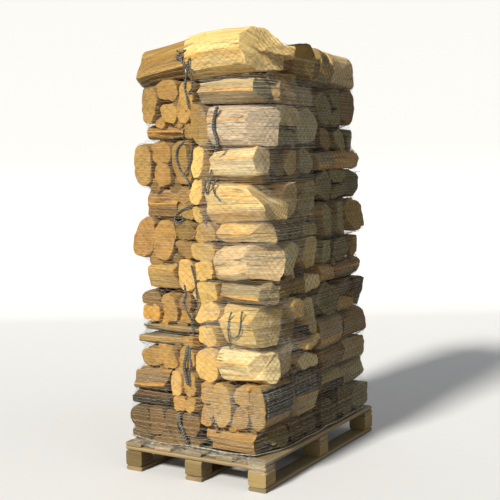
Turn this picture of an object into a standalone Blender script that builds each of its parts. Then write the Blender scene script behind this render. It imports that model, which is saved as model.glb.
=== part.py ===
"""A pallet of bagged firewood.

A light wooden pallet of three runners, nine blocks, three cross boards and five deck boards
carries ten layers of net bags, four bags to a layer. Every bag is one solid: its split logs lie
in one or two courses, packed so tightly in the net that they hold each other.

Metres, +Z up. The origin is in the middle of the pallet's footprint, on the ground. The front,
0.8 m wide, faces -Y. Left is -X.
"""
import math
import random

import bmesh
import bpy
from mathutils import Vector

# Pallet
PALLET_WIDTH = 0.800
PALLET_DEPTH = 1.200
BOARD = 0.022
BOARD_WIDTH = 0.095
BLOCK = 0.095
BLOCK_HEIGHT = 0.078
EDGE_WEAR = 0.004
DECK_BOARDS = 5
JOINT_GAP = 0.0004

# Stack of bags
SEED = 7
FRONT = -0.585
RIGHT = 0.398
LEFT_REAR = 0.520
FRONT_SEAM_X = 0.018
REAR_SEAM_X = 0.048
RIGHT_SEAM_Y = 0.000
LEFT_SEAM_Y = 0.034
BAG_GAP = 0.006
LAYER_GAP = 0.0008
LOG_GAP = 0.003
LOG_LENGTH = 0.300
STAGGER = 0.012
SET_BACK = 0.018
SHY_TOP = 0.10
THINNEST = 0.84
MAX_TILT = 0.040
MAX_ASKEW = 0.30
ASKEW_REACH = 0.014
CORE_INSET = 0.34
CORE_END_INSET = 0.075

# Wood colours, taken by eye from the lit side of the logs and from the worn pallet
SPLIT_WOOD = (0.60, 0.36, 0.12)
PALE_WOOD = (0.72, 0.50, 0.23)
BOARD_GREY = (0.22, 0.19, 0.12)
BLOCK_TAN = (0.42, 0.29, 0.14)

# The bags, lowest first. A bag has its reach, which is its outermost x (or y, for the rear
# right bags), and its courses from the bottom up. A course is (log direction, bottom, top,
# columns), and columns counts the logs stacked in each column, from the left or from the front.
# A course whose logs all slope the same way ends with that slope.
FRONT_LEFT = (
    (-0.398, (("y", 0.145, 0.195, (1, 1, 1)), ("y", 0.195, 0.325, (1, 1, 1, 1)))),
    (-0.392, (("x", 0.326, 0.400, (1, 1, 1, 1)), ("x", 0.400, 0.528, (1, 1, 1, 1)))),
    (-0.332, (("y", 0.529, 0.640, (1, 1, 1)), ("x", 0.640, 0.752, (2, 1, 1, 1)))),
    (-0.305, (("y", 0.753, 0.908, (2, 1, 2)),)),
    (-0.265, (("x", 0.909, 1.062, (1, 1, 2, 1)),)),
    (-0.330, (("y", 1.063, 1.252, (1, 1, 2)),)),
    (-0.302, (("x", 1.253, 1.406, (1, 1, 1, 1)),)),
    (-0.338, (("y", 1.407, 1.625, (1, 2, 1)),)),
    (-0.282, (("x", 1.626, 1.706, (1, 1, 1, 1)), ("y", 1.706, 1.902, (1, 2, 1)))),
    (-0.308, (("x", 1.903, 2.098, (1, 1, 1), 0.20),)),
)
FRONT_RIGHT = (
    (0.385, (("x", 0.145, 0.276, (1, 1, 1, 1)),)),
    (0.390, (("y", 0.277, 0.482, (2, 1, 2, 1)),)),
    (0.396, (("x", 0.483, 0.650, (1, 1, 2)),)),
    (0.398, (("x", 0.651, 0.862, (1, 2, 1)),)),
    (0.398, (("x", 0.863, 0.968, (1, 1, 1, 1)), ("x", 0.968, 1.146, (1, 1, 1)))),
    (0.398, (("x", 1.147, 1.240, (1, 1, 1, 1)), ("x", 1.240, 1.442, (1, 1, 1)))),
    (0.372, (("x", 1.443, 1.592, (1, 1, 1, 1)),)),
    (0.398, (("x", 1.593, 1.783, (1, 2, 1)),)),
    (0.376, (("x", 1.784, 1.903, (1, 1, 1, 1)),)),
    (0.395, (("x", 1.904, 2.126, (1, 1, 1), 0.03),)),
)
REAR_RIGHT = (
    (0.575, (("x", 0.145, 0.320, (1, 1, 1)),)),
    (0.560, (("y", 0.321, 0.440, (1, 1, 1)), ("y", 0.440, 0.560, (1, 1, 1)))),
    (0.580, (("y", 0.561, 0.722, (1, 1)),)),
    (0.550, (("x", 0.723, 0.902, (1, 2, 1)),)),
    (0.490, (("y", 0.903, 0.990, (1, 1, 1)), ("x", 0.990, 1.130, (1, 1, 1)))),
    (0.532, (("x", 1.131, 1.315, (1, 1, 1)),)),
    (0.485, (("x", 1.316, 1.472, (1, 2, 1)),)),
    (0.470, (("y", 1.473, 1.560, (1, 1, 1)), ("x", 1.560, 1.690, (1, 1, 1)))),
    (0.432, (("x", 1.691, 1.882, (1, 2, 1)),)),
    (0.475, (("y", 1.883, 2.062, (1, 1), -0.10),)),
)
REAR_LEFT = (
    (-0.385, (("x", 0.145, 0.310, (1, 1, 1)),)),
    (-0.365, (("y", 0.311, 0.500, (1, 2, 1)),)),
    (-0.330, (("x", 0.501, 0.620, (1, 1, 1)), ("x", 0.620, 0.722, (1, 1, 1, 1)))),
    (-0.345, (("y", 0.723, 0.910, (2, 1, 1)),)),
    (-0.310, (("x", 0.911, 1.090, (1, 1, 1)),)),
    (-0.345, (("y", 1.091, 1.284, (1, 1, 2)),)),
    (-0.320, (("x", 1.285, 1.462, (1, 2, 1)),)),
    (-0.345, (("x", 1.463, 1.640, (1, 1, 1)),)),
    (-0.305, (("y", 1.641, 1.868, (1, 2, 1)),)),
    (-0.320, (("x", 1.869, 2.060, (1, 1, 1)),)),
)


def wood(name, colour, roughness):
    """A plain wood finish."""
    material = bpy.data.materials.new(name)
    material.use_nodes = True
    shader = material.node_tree.nodes["Principled BSDF"]
    shader.inputs["Base Color"].default_value = (*colour, 1.0)
    shader.inputs["Roughness"].default_value = roughness
    shader.inputs["Metallic"].default_value = 0.0
    return material


def add_object(name, mesh, material, location=(0.0, 0.0, 0.0)):
    """Puts a mesh in the scene under the name of its piece."""
    piece = bpy.data.objects.new(name, mesh)
    piece.location = location
    mesh.materials.clear()
    mesh.materials.append(material)
    bpy.context.scene.collection.objects.link(piece)
    return piece


def worn_block(name, size, material, location):
    """A sawn piece whose long edges, the ones along its grain, are worn to a chamfer."""
    shape = bmesh.new()
    bmesh.ops.create_cube(shape, size=1.0)
    bmesh.ops.scale(shape, vec=Vector(size), verts=shape.verts)
    grain = size.index(max(size))
    along = [e for e in shape.edges
             if abs((e.verts[0].co - e.verts[1].co)[grain]) > size[grain] / 2]
    bmesh.ops.bevel(shape, geom=along, offset=EDGE_WEAR, segments=1, affect="EDGES")
    mesh = bpy.data.meshes.new(name)
    shape.to_mesh(mesh)
    shape.free()
    return add_object(name, mesh, material, location)


def build_pallet():
    """Runners, blocks, cross boards and deck boards, from the ground up."""
    grey = wood("pallet_board_wood", BOARD_GREY, 0.85)
    tan = wood("pallet_block_wood", BLOCK_TAN, 0.80)
    side = PALLET_WIDTH / 2 - BOARD_WIDTH / 2
    end = PALLET_DEPTH / 2 - BOARD_WIDTH / 2
    columns = (("left", -side), ("middle", 0.0), ("right", side))
    rows = (("front", -end), ("centre", 0.0), ("rear", end))
    board = BOARD - JOINT_GAP
    block_z = BOARD + BLOCK_HEIGHT / 2
    cross_z = BOARD + BLOCK_HEIGHT + BOARD / 2
    deck_z = cross_z + BOARD
    for column, x in columns:
        worn_block(f"runner_{column}", (BOARD_WIDTH, PALLET_DEPTH, board), grey,
                   (x, 0.0, board / 2))
        for row, y in rows:
            worn_block(f"block_{row}_{column}", (BLOCK, BLOCK, BLOCK_HEIGHT - JOINT_GAP), tan,
                       (x, y, block_z))
    for row, y in rows:
        worn_block(f"cross_board_{row}", (PALLET_WIDTH, BOARD_WIDTH, board), grey,
                   (0.0, y, cross_z))
    step = 2 * side / (DECK_BOARDS - 1)
    for number in range(DECK_BOARDS):
        worn_block(f"deck_board_{number + 1}", (BOARD_WIDTH, PALLET_DEPTH, board), grey,
                   (-side + number * step, 0.0, deck_z))


def log_section(draw, across, bottom, top):
    """The outline of a split log that fills the cell from across[0] to across[1].

    The corners stand at even angles, moved a little, on a rounded rectangle
    |a|^k + |b|^k = 1, and are then stretched to touch all four sides of the cell.
    """
    corners = draw.choice((5, 5, 6))
    power = draw.uniform(2.2, 3.4)
    turn = draw.uniform(0.0, math.tau)
    points = []
    for corner in range(corners):
        angle = turn + math.tau * (corner + draw.uniform(-0.22, 0.22)) / corners
        a, b = math.cos(angle), math.sin(angle)
        reach = (abs(a) ** power + abs(b) ** power) ** (-1.0 / power)
        points.append((a * reach, b * reach))
    low_a, high_a = min(p[0] for p in points), max(p[0] for p in points)
    low_b, high_b = min(p[1] for p in points), max(p[1] for p in points)
    return [(across[0] + (a - low_a) / (high_a - low_a) * (across[1] - across[0]),
             bottom + (b - low_b) / (high_b - low_b) * (top - bottom)) for a, b in points]


def shares(draw, count, low, high):
    """Cuts a length into a number of uneven shares."""
    weights = [draw.uniform(0.8, 1.25) for _ in range(count)]
    total = sum(weights)
    edges = [low]
    for weight in weights:
        edges.append(edges[-1] + weight / total * (high - low))
    return list(zip(edges, edges[1:]))


def split_log(draw, direction, run, across, bottom, top, slope):
    """One log that lies in its cell, a little tilted, thinner at one end, its ends cut askew."""
    start = run[0] + draw.uniform(0.0, STAGGER)
    end = run[1] - draw.uniform(0.0, STAGGER)
    tilt = slope + draw.uniform(-MAX_TILT, MAX_TILT)
    drop = abs(tilt) * (end - start) / 2
    shy = draw.uniform(0.0, SHY_TOP) * (top - bottom)
    outline = log_section(draw, across, bottom + LAYER_GAP / 2 + drop,
                          top - LAYER_GAP / 2 - drop - shy)
    thin = draw.uniform(THINNEST, 1.0)
    thickness = (1.0, thin) if draw.random() < 0.5 else (thin, 1.0)
    askew = [(draw.uniform(-MAX_ASKEW, MAX_ASKEW), draw.uniform(-MAX_ASKEW, MAX_ASKEW))
             for _ in range(2)]
    return direction, start, end, outline, tilt, thickness, askew


def bag_logs(draw, box, courses):
    """The logs of one bag.

    A course laid along x has its columns side by side in y. A course laid along y is as deep
    as two logs, so each column holds a front log and a rear log, end to end. The outermost
    columns stand back from the bag's face by a little, each by its own amount.
    """
    (x0, x1), (y0, y1) = box
    logs = []
    for direction, bottom, top, columns, *slope in courses:
        across = (y0, y1) if direction == "x" else (x0, x1)
        runs = [(x0, x1)]
        if direction == "y":
            middle = y0 + LOG_LENGTH if y0 == FRONT else y1 - LOG_LENGTH
            runs = [(y0, middle - LOG_GAP), (middle + LOG_GAP, y1)]
        for run in runs:
            edges = (across[0] + draw.uniform(0.0, SET_BACK), across[1] - draw.uniform(0.0, SET_BACK))
            for stacked, (near, far) in zip(columns, shares(draw, len(columns), *edges)):
                cell = (near + LOG_GAP / 2, far - LOG_GAP / 2)
                for low, high in shares(draw, stacked, bottom, top):
                    logs.append(split_log(draw, direction, run, cell, low, high, sum(slope)))
    return logs


def log_point(log, corner, t):
    """The point at part t of the way along the edge that runs through one corner of a log.

    The outline shrinks towards the thinner end about the middle of its underside, and rises
    or falls with the tilt.
    """
    direction, start, end, outline, tilt, thickness, _ = log
    middle = sum(a for a, _ in outline) / len(outline)
    base = min(z for _, z in outline)
    scale = thickness[0] + (thickness[1] - thickness[0]) * t
    across = middle + (outline[corner][0] - middle) * scale
    z = base + (outline[corner][1] - base) * scale + tilt * (end - start) * (t - 0.5)
    along = start + (end - start) * t
    return (along, across, z) if direction == "x" else (across, along, z)


def askew_end(log, corner, which):
    """How far along a log, as a part of its length, the askew cut meets one corner's edge."""
    _, start, end, outline, _, _, askew = log
    middle = sum(a for a, _ in outline) / len(outline)
    centre = sum(z for _, z in outline) / len(outline)
    shift = (askew[which][0] * (outline[corner][0] - middle)
             + askew[which][1] * (outline[corner][1] - centre)) / (end - start)
    most = ASKEW_REACH / (end - start)
    inward = min(max(shift, -most), most) + most
    return inward if which == 0 else 1.0 - inward


def add_prism(shape, log):
    """Adds one log to a bmesh as a closed prism between its two askew ends."""
    count = len(log[3])
    rings = [[shape.verts.new(log_point(log, corner, askew_end(log, corner, which)))
              for corner in range(count)] for which in (0, 1)]
    shape.faces.new(rings[0])
    shape.faces.new(rings[1])
    for i in range(count):
        j = (i + 1) % count
        shape.faces.new((rings[0][i], rings[0][j], rings[1][j], rings[1][i]))


def add_core(shape, box, courses):
    """Adds the packed middle of the bag, where the logs press against each other."""
    (x0, x1), (y0, y1) = box
    _, bottom, first_top, lowest = courses[0][:4]
    _, last_bottom, top, highest = courses[-1][:4]
    low = bottom + CORE_INSET * (first_top - bottom) / max(lowest)
    high = top - CORE_INSET * (top - last_bottom) / max(highest)
    inset_x = inset_y = 0.0
    for direction, _, _, columns, *_ in courses:
        if direction == "x":
            inset_x = max(inset_x, CORE_END_INSET)
            inset_y = max(inset_y, CORE_INSET * (y1 - y0) / len(columns))
        else:
            inset_x = max(inset_x, CORE_INSET * (x1 - x0) / len(columns))
            inset_y = max(inset_y, CORE_END_INSET)
    centre = Vector(((x0 + x1) / 2, (y0 + y1) / 2, (low + high) / 2))
    size = Vector((x1 - x0 - 2 * inset_x, y1 - y0 - 2 * inset_y, high - low))
    cube = bmesh.ops.create_cube(shape, size=1.0)["verts"]
    bmesh.ops.scale(shape, vec=size, verts=cube)
    bmesh.ops.translate(shape, vec=centre, verts=cube)


def mesh_of(name, fill):
    """A mesh of what fill adds to a bmesh, with its faces turned outwards."""
    shape = bmesh.new()
    fill(shape)
    bmesh.ops.recalc_face_normals(shape, faces=shape.faces)
    mesh = bpy.data.meshes.new(name)
    shape.to_mesh(mesh)
    shape.free()
    return mesh


def build_bag(name, number, box, courses, material):
    """One bag: all its logs and its packed middle, joined in one solid."""
    draw = random.Random(SEED * 1000 + number)
    logs = bag_logs(draw, box, courses)
    core = mesh_of(name, lambda shape: add_core(shape, box, courses))
    packed = mesh_of(name + "_logs", lambda shape: [add_prism(shape, log) for log in logs])
    bag = add_object(name, core, material)
    helper = add_object(name + "_logs", packed, material)
    helper.hide_render = True
    helper.display_type = "WIRE"
    joined = bag.modifiers.new("logs", "BOOLEAN")
    joined.operation = "UNION"
    joined.object = helper
    joined.solver = "EXACT"
    joined.use_self = True
    return bag


def build_stack():
    """Ten layers of four bags.

    The seams of the front and rear pairs, and of the left and right pairs, are offset, so that
    no gap runs straight through the stack.
    """
    shades = (wood("split_wood", SPLIT_WOOD, 0.75), wood("pale_wood", PALE_WOOD, 0.72))
    half = BAG_GAP / 2
    layers = zip(FRONT_LEFT, FRONT_RIGHT, REAR_RIGHT, REAR_LEFT)
    for layer, (front_left, front_right, rear_right, rear_left) in enumerate(layers):
        corners = (
            ("front_left", front_left[1],
             ((front_left[0], FRONT_SEAM_X - half), (FRONT, LEFT_SEAM_Y - half))),
            ("front_right", front_right[1],
             ((FRONT_SEAM_X + half, front_right[0]), (FRONT, RIGHT_SEAM_Y - half))),
            ("rear_right", rear_right[1],
             ((REAR_SEAM_X + half, RIGHT), (RIGHT_SEAM_Y + half, rear_right[0]))),
            ("rear_left", rear_left[1],
             ((rear_left[0], REAR_SEAM_X - half), (LEFT_SEAM_Y + half, LEFT_REAR))),
        )
        for corner, (place, courses, box) in enumerate(corners):
            build_bag(f"bag_{layer + 1:02d}_{place}", 4 * layer + corner, box, courses,
                      shades[(layer + corner) % 2])


def main():
    for old in list(bpy.data.objects):
        bpy.data.objects.remove(old, do_unlink=True)
    build_pallet()
    build_stack()


main()
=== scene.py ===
"""The looks of a pallet of bagged firewood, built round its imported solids.

Every bag is a piece of split logs, which repeats the logs of its solid with fine surfaces. Nets,
draw cords, a knitted wrap with a roped hem, splinters and a worn pallet go with them.

Metres, +Z up. The origin is in the middle of the pallet's footprint, on the ground. The front
faces -Y and left is -X. Run it as a script, or read it as an add-on: each group of pieces has an
operator, and its sizes and colours are properties.
"""
import math
import random
from typing import NamedTuple

import bpy
import numpy as np
from bpy.props import FloatProperty, FloatVectorProperty, IntProperty, PointerProperty
from mathutils import Matrix, Vector
from mathutils.bvhtree import BVHTree


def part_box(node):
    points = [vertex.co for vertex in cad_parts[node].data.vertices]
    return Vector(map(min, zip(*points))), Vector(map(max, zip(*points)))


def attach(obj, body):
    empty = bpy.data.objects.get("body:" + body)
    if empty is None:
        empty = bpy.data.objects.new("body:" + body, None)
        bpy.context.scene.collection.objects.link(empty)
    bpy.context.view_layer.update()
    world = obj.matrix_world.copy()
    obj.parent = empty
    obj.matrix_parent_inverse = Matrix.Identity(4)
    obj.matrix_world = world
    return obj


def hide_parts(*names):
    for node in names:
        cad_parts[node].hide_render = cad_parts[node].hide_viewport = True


bl_info = {
    "name": "Pallet of bagged firewood",
    "version": (1, 0, 0),
    "blender": (4, 5, 0),
    "location": "3D View > Sidebar > Firewood",
    "description": "Split logs in nets, their wrap, and the pallet that carries them",
    "category": "Object",
}

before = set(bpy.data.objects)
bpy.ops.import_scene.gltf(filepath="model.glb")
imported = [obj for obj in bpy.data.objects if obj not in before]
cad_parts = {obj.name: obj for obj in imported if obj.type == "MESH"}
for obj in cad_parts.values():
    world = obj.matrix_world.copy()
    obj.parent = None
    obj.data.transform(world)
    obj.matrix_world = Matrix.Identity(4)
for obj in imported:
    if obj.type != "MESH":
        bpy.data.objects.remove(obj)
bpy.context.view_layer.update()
BODY = "root"

# Stack of bags, as its solids have it
SEED = 7
FRONT = -0.585
RIGHT = 0.398
LEFT_REAR = 0.520
FRONT_SEAM_X = 0.018
REAR_SEAM_X = 0.048
RIGHT_SEAM_Y = 0.000
LEFT_SEAM_Y = 0.034
BAG_GAP = 0.006
LAYER_GAP = 0.0008
LOG_GAP = 0.003
LOG_LENGTH = 0.300
STAGGER = 0.012
SET_BACK = 0.018
SHY_TOP = 0.10
THINNEST = 0.84
MAX_TILT = 0.040
MAX_ASKEW = 0.30
ASKEW_REACH = 0.014
DECK_TOP = 0.144
# The looks of the logs stay between these x
SIDES = (-0.4085, 0.4165)

# The bags, lowest first. A bag has its reach, which is its outermost x (or y, for the rear
# right bags), and its courses from the bottom up. A course is (log direction, bottom, top,
# columns), and columns counts the logs stacked in each column, from the left or from the front.
# A course whose logs all slope the same way ends with that slope.
FRONT_LEFT = (
    (-0.398, (("y", 0.145, 0.195, (1, 1, 1)), ("y", 0.195, 0.325, (1, 1, 1, 1)))),
    (-0.392, (("x", 0.326, 0.400, (1, 1, 1, 1)), ("x", 0.400, 0.528, (1, 1, 1, 1)))),
    (-0.332, (("y", 0.529, 0.640, (1, 1, 1)), ("x", 0.640, 0.752, (2, 1, 1, 1)))),
    (-0.305, (("y", 0.753, 0.908, (2, 1, 2)),)),
    (-0.265, (("x", 0.909, 1.062, (1, 1, 2, 1)),)),
    (-0.330, (("y", 1.063, 1.252, (1, 1, 2)),)),
    (-0.302, (("x", 1.253, 1.406, (1, 1, 1, 1)),)),
    (-0.338, (("y", 1.407, 1.625, (1, 2, 1)),)),
    (-0.282, (("x", 1.626, 1.706, (1, 1, 1, 1)), ("y", 1.706, 1.902, (1, 2, 1)))),
    (-0.308, (("x", 1.903, 2.098, (1, 1, 1), 0.20),)),
)
FRONT_RIGHT = (
    (0.385, (("x", 0.145, 0.276, (1, 1, 1, 1)),)),
    (0.390, (("y", 0.277, 0.482, (2, 1, 2, 1)),)),
    (0.396, (("x", 0.483, 0.650, (1, 1, 2)),)),
    (0.398, (("x", 0.651, 0.862, (1, 2, 1)),)),
    (0.398, (("x", 0.863, 0.968, (1, 1, 1, 1)), ("x", 0.968, 1.146, (1, 1, 1)))),
    (0.398, (("x", 1.147, 1.240, (1, 1, 1, 1)), ("x", 1.240, 1.442, (1, 1, 1)))),
    (0.372, (("x", 1.443, 1.592, (1, 1, 1, 1)),)),
    (0.398, (("x", 1.593, 1.783, (1, 2, 1)),)),
    (0.376, (("x", 1.784, 1.903, (1, 1, 1, 1)),)),
    (0.395, (("x", 1.904, 2.126, (1, 1, 1), 0.03),)),
)
REAR_RIGHT = (
    (0.575, (("x", 0.145, 0.320, (1, 1, 1)),)),
    (0.560, (("y", 0.321, 0.440, (1, 1, 1)), ("y", 0.440, 0.560, (1, 1, 1)))),
    (0.580, (("y", 0.561, 0.722, (1, 1)),)),
    (0.550, (("x", 0.723, 0.902, (1, 2, 1)),)),
    (0.490, (("y", 0.903, 0.990, (1, 1, 1)), ("x", 0.990, 1.130, (1, 1, 1)))),
    (0.532, (("x", 1.131, 1.315, (1, 1, 1)),)),
    (0.485, (("x", 1.316, 1.472, (1, 2, 1)),)),
    (0.470, (("y", 1.473, 1.560, (1, 1, 1)), ("x", 1.560, 1.690, (1, 1, 1)))),
    (0.432, (("x", 1.691, 1.882, (1, 2, 1)),)),
    (0.475, (("y", 1.883, 2.062, (1, 1), -0.10),)),
)
REAR_LEFT = (
    (-0.385, (("x", 0.145, 0.310, (1, 1, 1)),)),
    (-0.365, (("y", 0.311, 0.500, (1, 2, 1)),)),
    (-0.330, (("x", 0.501, 0.620, (1, 1, 1)), ("x", 0.620, 0.722, (1, 1, 1, 1)))),
    (-0.345, (("y", 0.723, 0.910, (2, 1, 1)),)),
    (-0.310, (("x", 0.911, 1.090, (1, 1, 1)),)),
    (-0.345, (("y", 1.091, 1.284, (1, 1, 2)),)),
    (-0.320, (("x", 1.285, 1.462, (1, 2, 1)),)),
    (-0.345, (("x", 1.463, 1.640, (1, 1, 1)),)),
    (-0.305, (("y", 1.641, 1.868, (1, 2, 1)),)),
    (-0.320, (("x", 1.869, 2.060, (1, 1, 1)),)),
)
FL, FR, RR, RL = CORNERS = ("front_left", "front_right", "rear_right", "rear_left")

# The usual wood of each column of bags, with how often each finish comes
USUAL = {
    FL: (("honey", 6), ("straw", 1), ("amber", 2), ("orange", 1), ("brown", 1)),
    FR: (("straw", 4), ("cream", 3), ("honey", 3)),
    # The olive wood of the rear right bags is painted shade
    RR: (("olive", 4), ("brown", 2), ("honey", 2), ("grey", 1)),
    RL: (("honey", 4), ("straw", 3), ("grey", 1), ("brown", 1)),
}
# Courses of one finish, as (layer, corner, course)
COURSE_FINISH = {
    (1, FL, 0): "brown",
    (2, FL, 0): "brown",
    (2, FL, 1): "honey",
    (3, FL, 1): "grey",
    (5, FL, 0): "honey",
    (2, FR, 0): "honey",
    (1, FL, 1): "brown",
    (1, RR, 0): "brown",
    (3, FR, 0): "cream",
    (4, FR, 0): "honey",
    (8, FR, 0): "cream",
    (9, FR, 0): "cream",
    (10, FR, 0): "straw",
    (2, RR, 1): "brown",
    (3, RR, 0): "grey",
    (10, RR, 0): "cream",
}
# Painted light and shade on the sawn ends of a bag, as (layer, corner): how much brighter or darker they are painted
# than the usual
END_PAINTED_LIGHT = {(9, FR): 0.55, (1, FR): 0.45, (8, RR): 1.6}
# How bright a whole bag is against the usual
BAG_SHADE = {(1, FL): 0.74, (1, FR): 0.90, (2, FR): 0.90,
             (6, FL): 0.80, (7, FL): 0.86, (1, RR): 0.75}
BARKED = {(2, FL, 0), (1, FR, 0), (2, RR, 0)}

# Cleft sections in a cell one wide and one high, from its front and from its bottom. The first
# corner is a ridge that points to the front.
HIGH_RIDGE = ((0.00, 0.66), (0.20, 0.10), (0.78, 0.00), (1.00, 0.36), (0.94, 0.92), (0.40, 1.00))
MIDDLE_RIDGE = ((0.00, 0.46), (0.26, 0.04), (0.82, 0.00), (1.00, 0.50), (0.86, 1.00), (0.30, 0.94))
LOW_RIDGE = ((0.00, 0.26), (0.30, 0.00), (0.88, 0.04), (1.00, 0.56), (0.80, 1.00), (0.26, 0.90))
BLUNT = ((0.00, 0.70), (0.03, 0.22), (0.18, 0.03), (0.90, 0.00), (1.00, 0.70), (0.75, 1.00), (0.12, 0.95))
LOW_BACK = ((0.00, 0.52), (0.03, 0.18), (0.18, 0.03), (0.90, 0.00), (1.00, 0.54), (0.75, 0.78), (0.12, 0.74))
RAISED = ((0.00, 0.74), (0.06, 0.48), (0.40, 0.40), (0.95, 0.38), (1.00, 0.66), (0.66, 0.84), (0.20, 0.90))
HUMP = ((0.00, 0.50), (0.06, 0.14), (0.30, 0.00), (0.95, 0.05), (1.00, 0.55), (0.70, 0.94), (0.42, 1.00),
        (0.13, 0.80))


class Shape(NamedTuple):
    """What sets one log apart from the usual.

    Its section, how far its two ends are moved out, its wood and how sure its first ridge is,
    how far its far end is cut back at the front and at the top, whether the sun reaches that
    end, how far its cell grows at the front and at the back, its bow, the way of its bark, and
    the part of its height at which the cut at the top starts.
    """
    section: tuple = ()
    ends: tuple = (0.0, 0.0)
    finish: str = ""
    ridge: float = 0.6
    cut: tuple = (0.0, 0.0)
    lit: bool = False
    grown: tuple = (0.0, 0.0)
    bow: float = 0.0
    bark: tuple = ()
    cut_from: float = 0.38


# Single logs, as (layer, corner, course, number in the course)
SHAPES = {
    (10, FL, 0, 0): Shape(LOW_RIDGE, (0.0, 0.05), "amber", 1.0),
    (9, FL, 0, 0): Shape(MIDDLE_RIDGE, (0.0, 0.01), "amber", 1.0),
    (7, FL, 0, 0): Shape(MIDDLE_RIDGE, (-0.008, 0.012), "amber", 1.0),
    (5, FL, 0, 0): Shape(HIGH_RIDGE, (0.0, 0.012), "honey", 1.0),
    (3, FL, 1, 0): Shape(BLUNT, (0.0, 0.012), "grey", 0.4),
    (3, FL, 1, 1): Shape(HIGH_RIDGE, (0.0, 0.012), "grey", 0.4),
    (2, FL, 1, 0): Shape(LOW_RIDGE, (0.0, 0.012), "brown", 1.0),
    (2, FL, 0, 0): Shape(HIGH_RIDGE, (0.02, 0.012), "umber", 0.2, bark=(-1.0, -0.4)),
    # Painted light: the brighter finish of these top logs is the split wood made paler and more golden where the sun
    # falls on it
    (10, FR, 0, 0): Shape(HUMP, (0.070, 0.014), "sunlit", 0.5, (0.11, 0.07), True, (0.0, 0.09), 0.014),
    (10, FR, 0, 1): Shape(RAISED, (0.0, 0.020), "sunlit", 1.0, (0.06, 0.16), True, (0.07, -0.05), cut_from=0.53),
    (10, FR, 0, 2): Shape(LOW_BACK, (0.0, 0.0), "amber", 1.0, bark=(0.3, 1.0)),
    (9, FR, 0, 0): Shape(MIDDLE_RIDGE, (0.012, -0.012), "cream", 0.5),
    (8, FR, 0, 0): Shape(BLUNT, (0.0, 0.010), "pale", 0.6, (0.09, 0.02), True),
    (7, FR, 0, 0): Shape(HIGH_RIDGE, (0.014, 0.0), "cream", 0.9),
    # Painted light in its finish, as on the top logs
    (6, FR, 1, 0): Shape(BLUNT, (0.010, 0.016), "sunlit", 1.0, (0.02, 0.13), True, (0.0, 0.09)),
    (6, FR, 0, 0): Shape(MIDDLE_RIDGE, (0.0, 0.012), "straw", 1.0, (0.08, 0.0), True),
    (5, FR, 1, 0): Shape(BLUNT, (0.014, 0.008), "cream", 0.6, (0.09, 0.02), True),
    (5, FR, 0, 0): Shape(LOW_RIDGE, (0.0, 0.0), "grey", 0.9, (0.05, 0.0), True),
    (4, FR, 0, 0): Shape(HIGH_RIDGE, (0.0, -0.012), "straw", 1.0, (0.07, 0.02), True),
    (4, FR, 0, 1): Shape((), (0.0, -0.035)),
    (4, FR, 0, 2): Shape((), (0.0, 0.024), "straw", 1.0, lit=True),
    (3, FR, 0, 1): Shape((), (0.0, -0.030)),
    (3, FR, 0, 3): Shape((), (0.0, 0.026), "straw", 1.0, lit=True),
    (9, FR, 0, 1): Shape((), (0.0, 0.030), "straw", 1.0, lit=True),
    (3, FR, 0, 0): Shape(HIGH_RIDGE, (0.0, -0.016), "cream", 1.0, (0.07, 0.0), True),
    (9, FL, 1, 0): Shape(finish="honey"),
    (2, FR, 0, 2): Shape(finish="honey"),
    # The bark on this log's right face is put there to darken that face, which lies in shade: partly bark, partly
    # painted shade
    (2, FR, 0, 5): Shape(finish="honey", bark=(1.0, 0.1)),
    (1, FR, 0, 0): Shape(HIGH_RIDGE, (-0.03, -0.045), "honey", 0.4, bark=(-0.5, -0.9)),
}

# Short pieces whose ends show beside the seam on the front, as (layer, corner, course) to
# (width, how many side by side, how many high)
OFFCUTS = {
    (8, FR, 0): (0.080, 1, 1),
    (7, FR, 0): (0.060, 1, 1),
    (6, FR, 1): (0.050, 1, 2),
    (6, FR, 0): (0.115, 1, 1),
    (5, FR, 1): (0.100, 1, 2),
    (5, FR, 0): (0.105, 1, 1),
    (4, FR, 0): (0.115, 1, 2),
    (3, FR, 0): (0.105, 1, 1),
    (9, FL, 0): (0.060, 1, 1),
    (7, FL, 0): (0.080, 1, 2),
    (5, FL, 0): (0.090, 1, 1),
    (3, FL, 1): (0.080, 1, 1),
    (2, FL, 1): (0.165, 2, 1),
    (2, FL, 0): (0.140, 2, 1),
}


# The same logs as the solids


def log_section(draw, across, bottom, top):
    """The outline of a split log that fills the cell from across[0] to across[1].

    The corners stand at even angles, moved a little, on a rounded rectangle
    |a|^k + |b|^k = 1, and are then stretched to touch all four sides of the cell.
    """
    corners = draw.choice((5, 5, 6))
    power = draw.uniform(2.2, 3.4)
    turn = draw.uniform(0.0, math.tau)
    points = []
    for corner in range(corners):
        angle = turn + math.tau * (corner + draw.uniform(-0.22, 0.22)) / corners
        a, b = math.cos(angle), math.sin(angle)
        reach = (abs(a) ** power + abs(b) ** power) ** (-1.0 / power)
        points.append((a * reach, b * reach))
    low_a, high_a = min(p[0] for p in points), max(p[0] for p in points)
    low_b, high_b = min(p[1] for p in points), max(p[1] for p in points)
    return [(across[0] + (a - low_a) / (high_a - low_a) * (across[1] - across[0]),
             bottom + (b - low_b) / (high_b - low_b) * (top - bottom)) for a, b in points]


def shares(draw, count, low, high):
    """Cuts a length into a number of uneven shares."""
    weights = [draw.uniform(0.8, 1.25) for _ in range(count)]
    total = sum(weights)
    edges = [low]
    for weight in weights:
        edges.append(edges[-1] + weight / total * (high - low))
    return list(zip(edges, edges[1:]))


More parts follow.
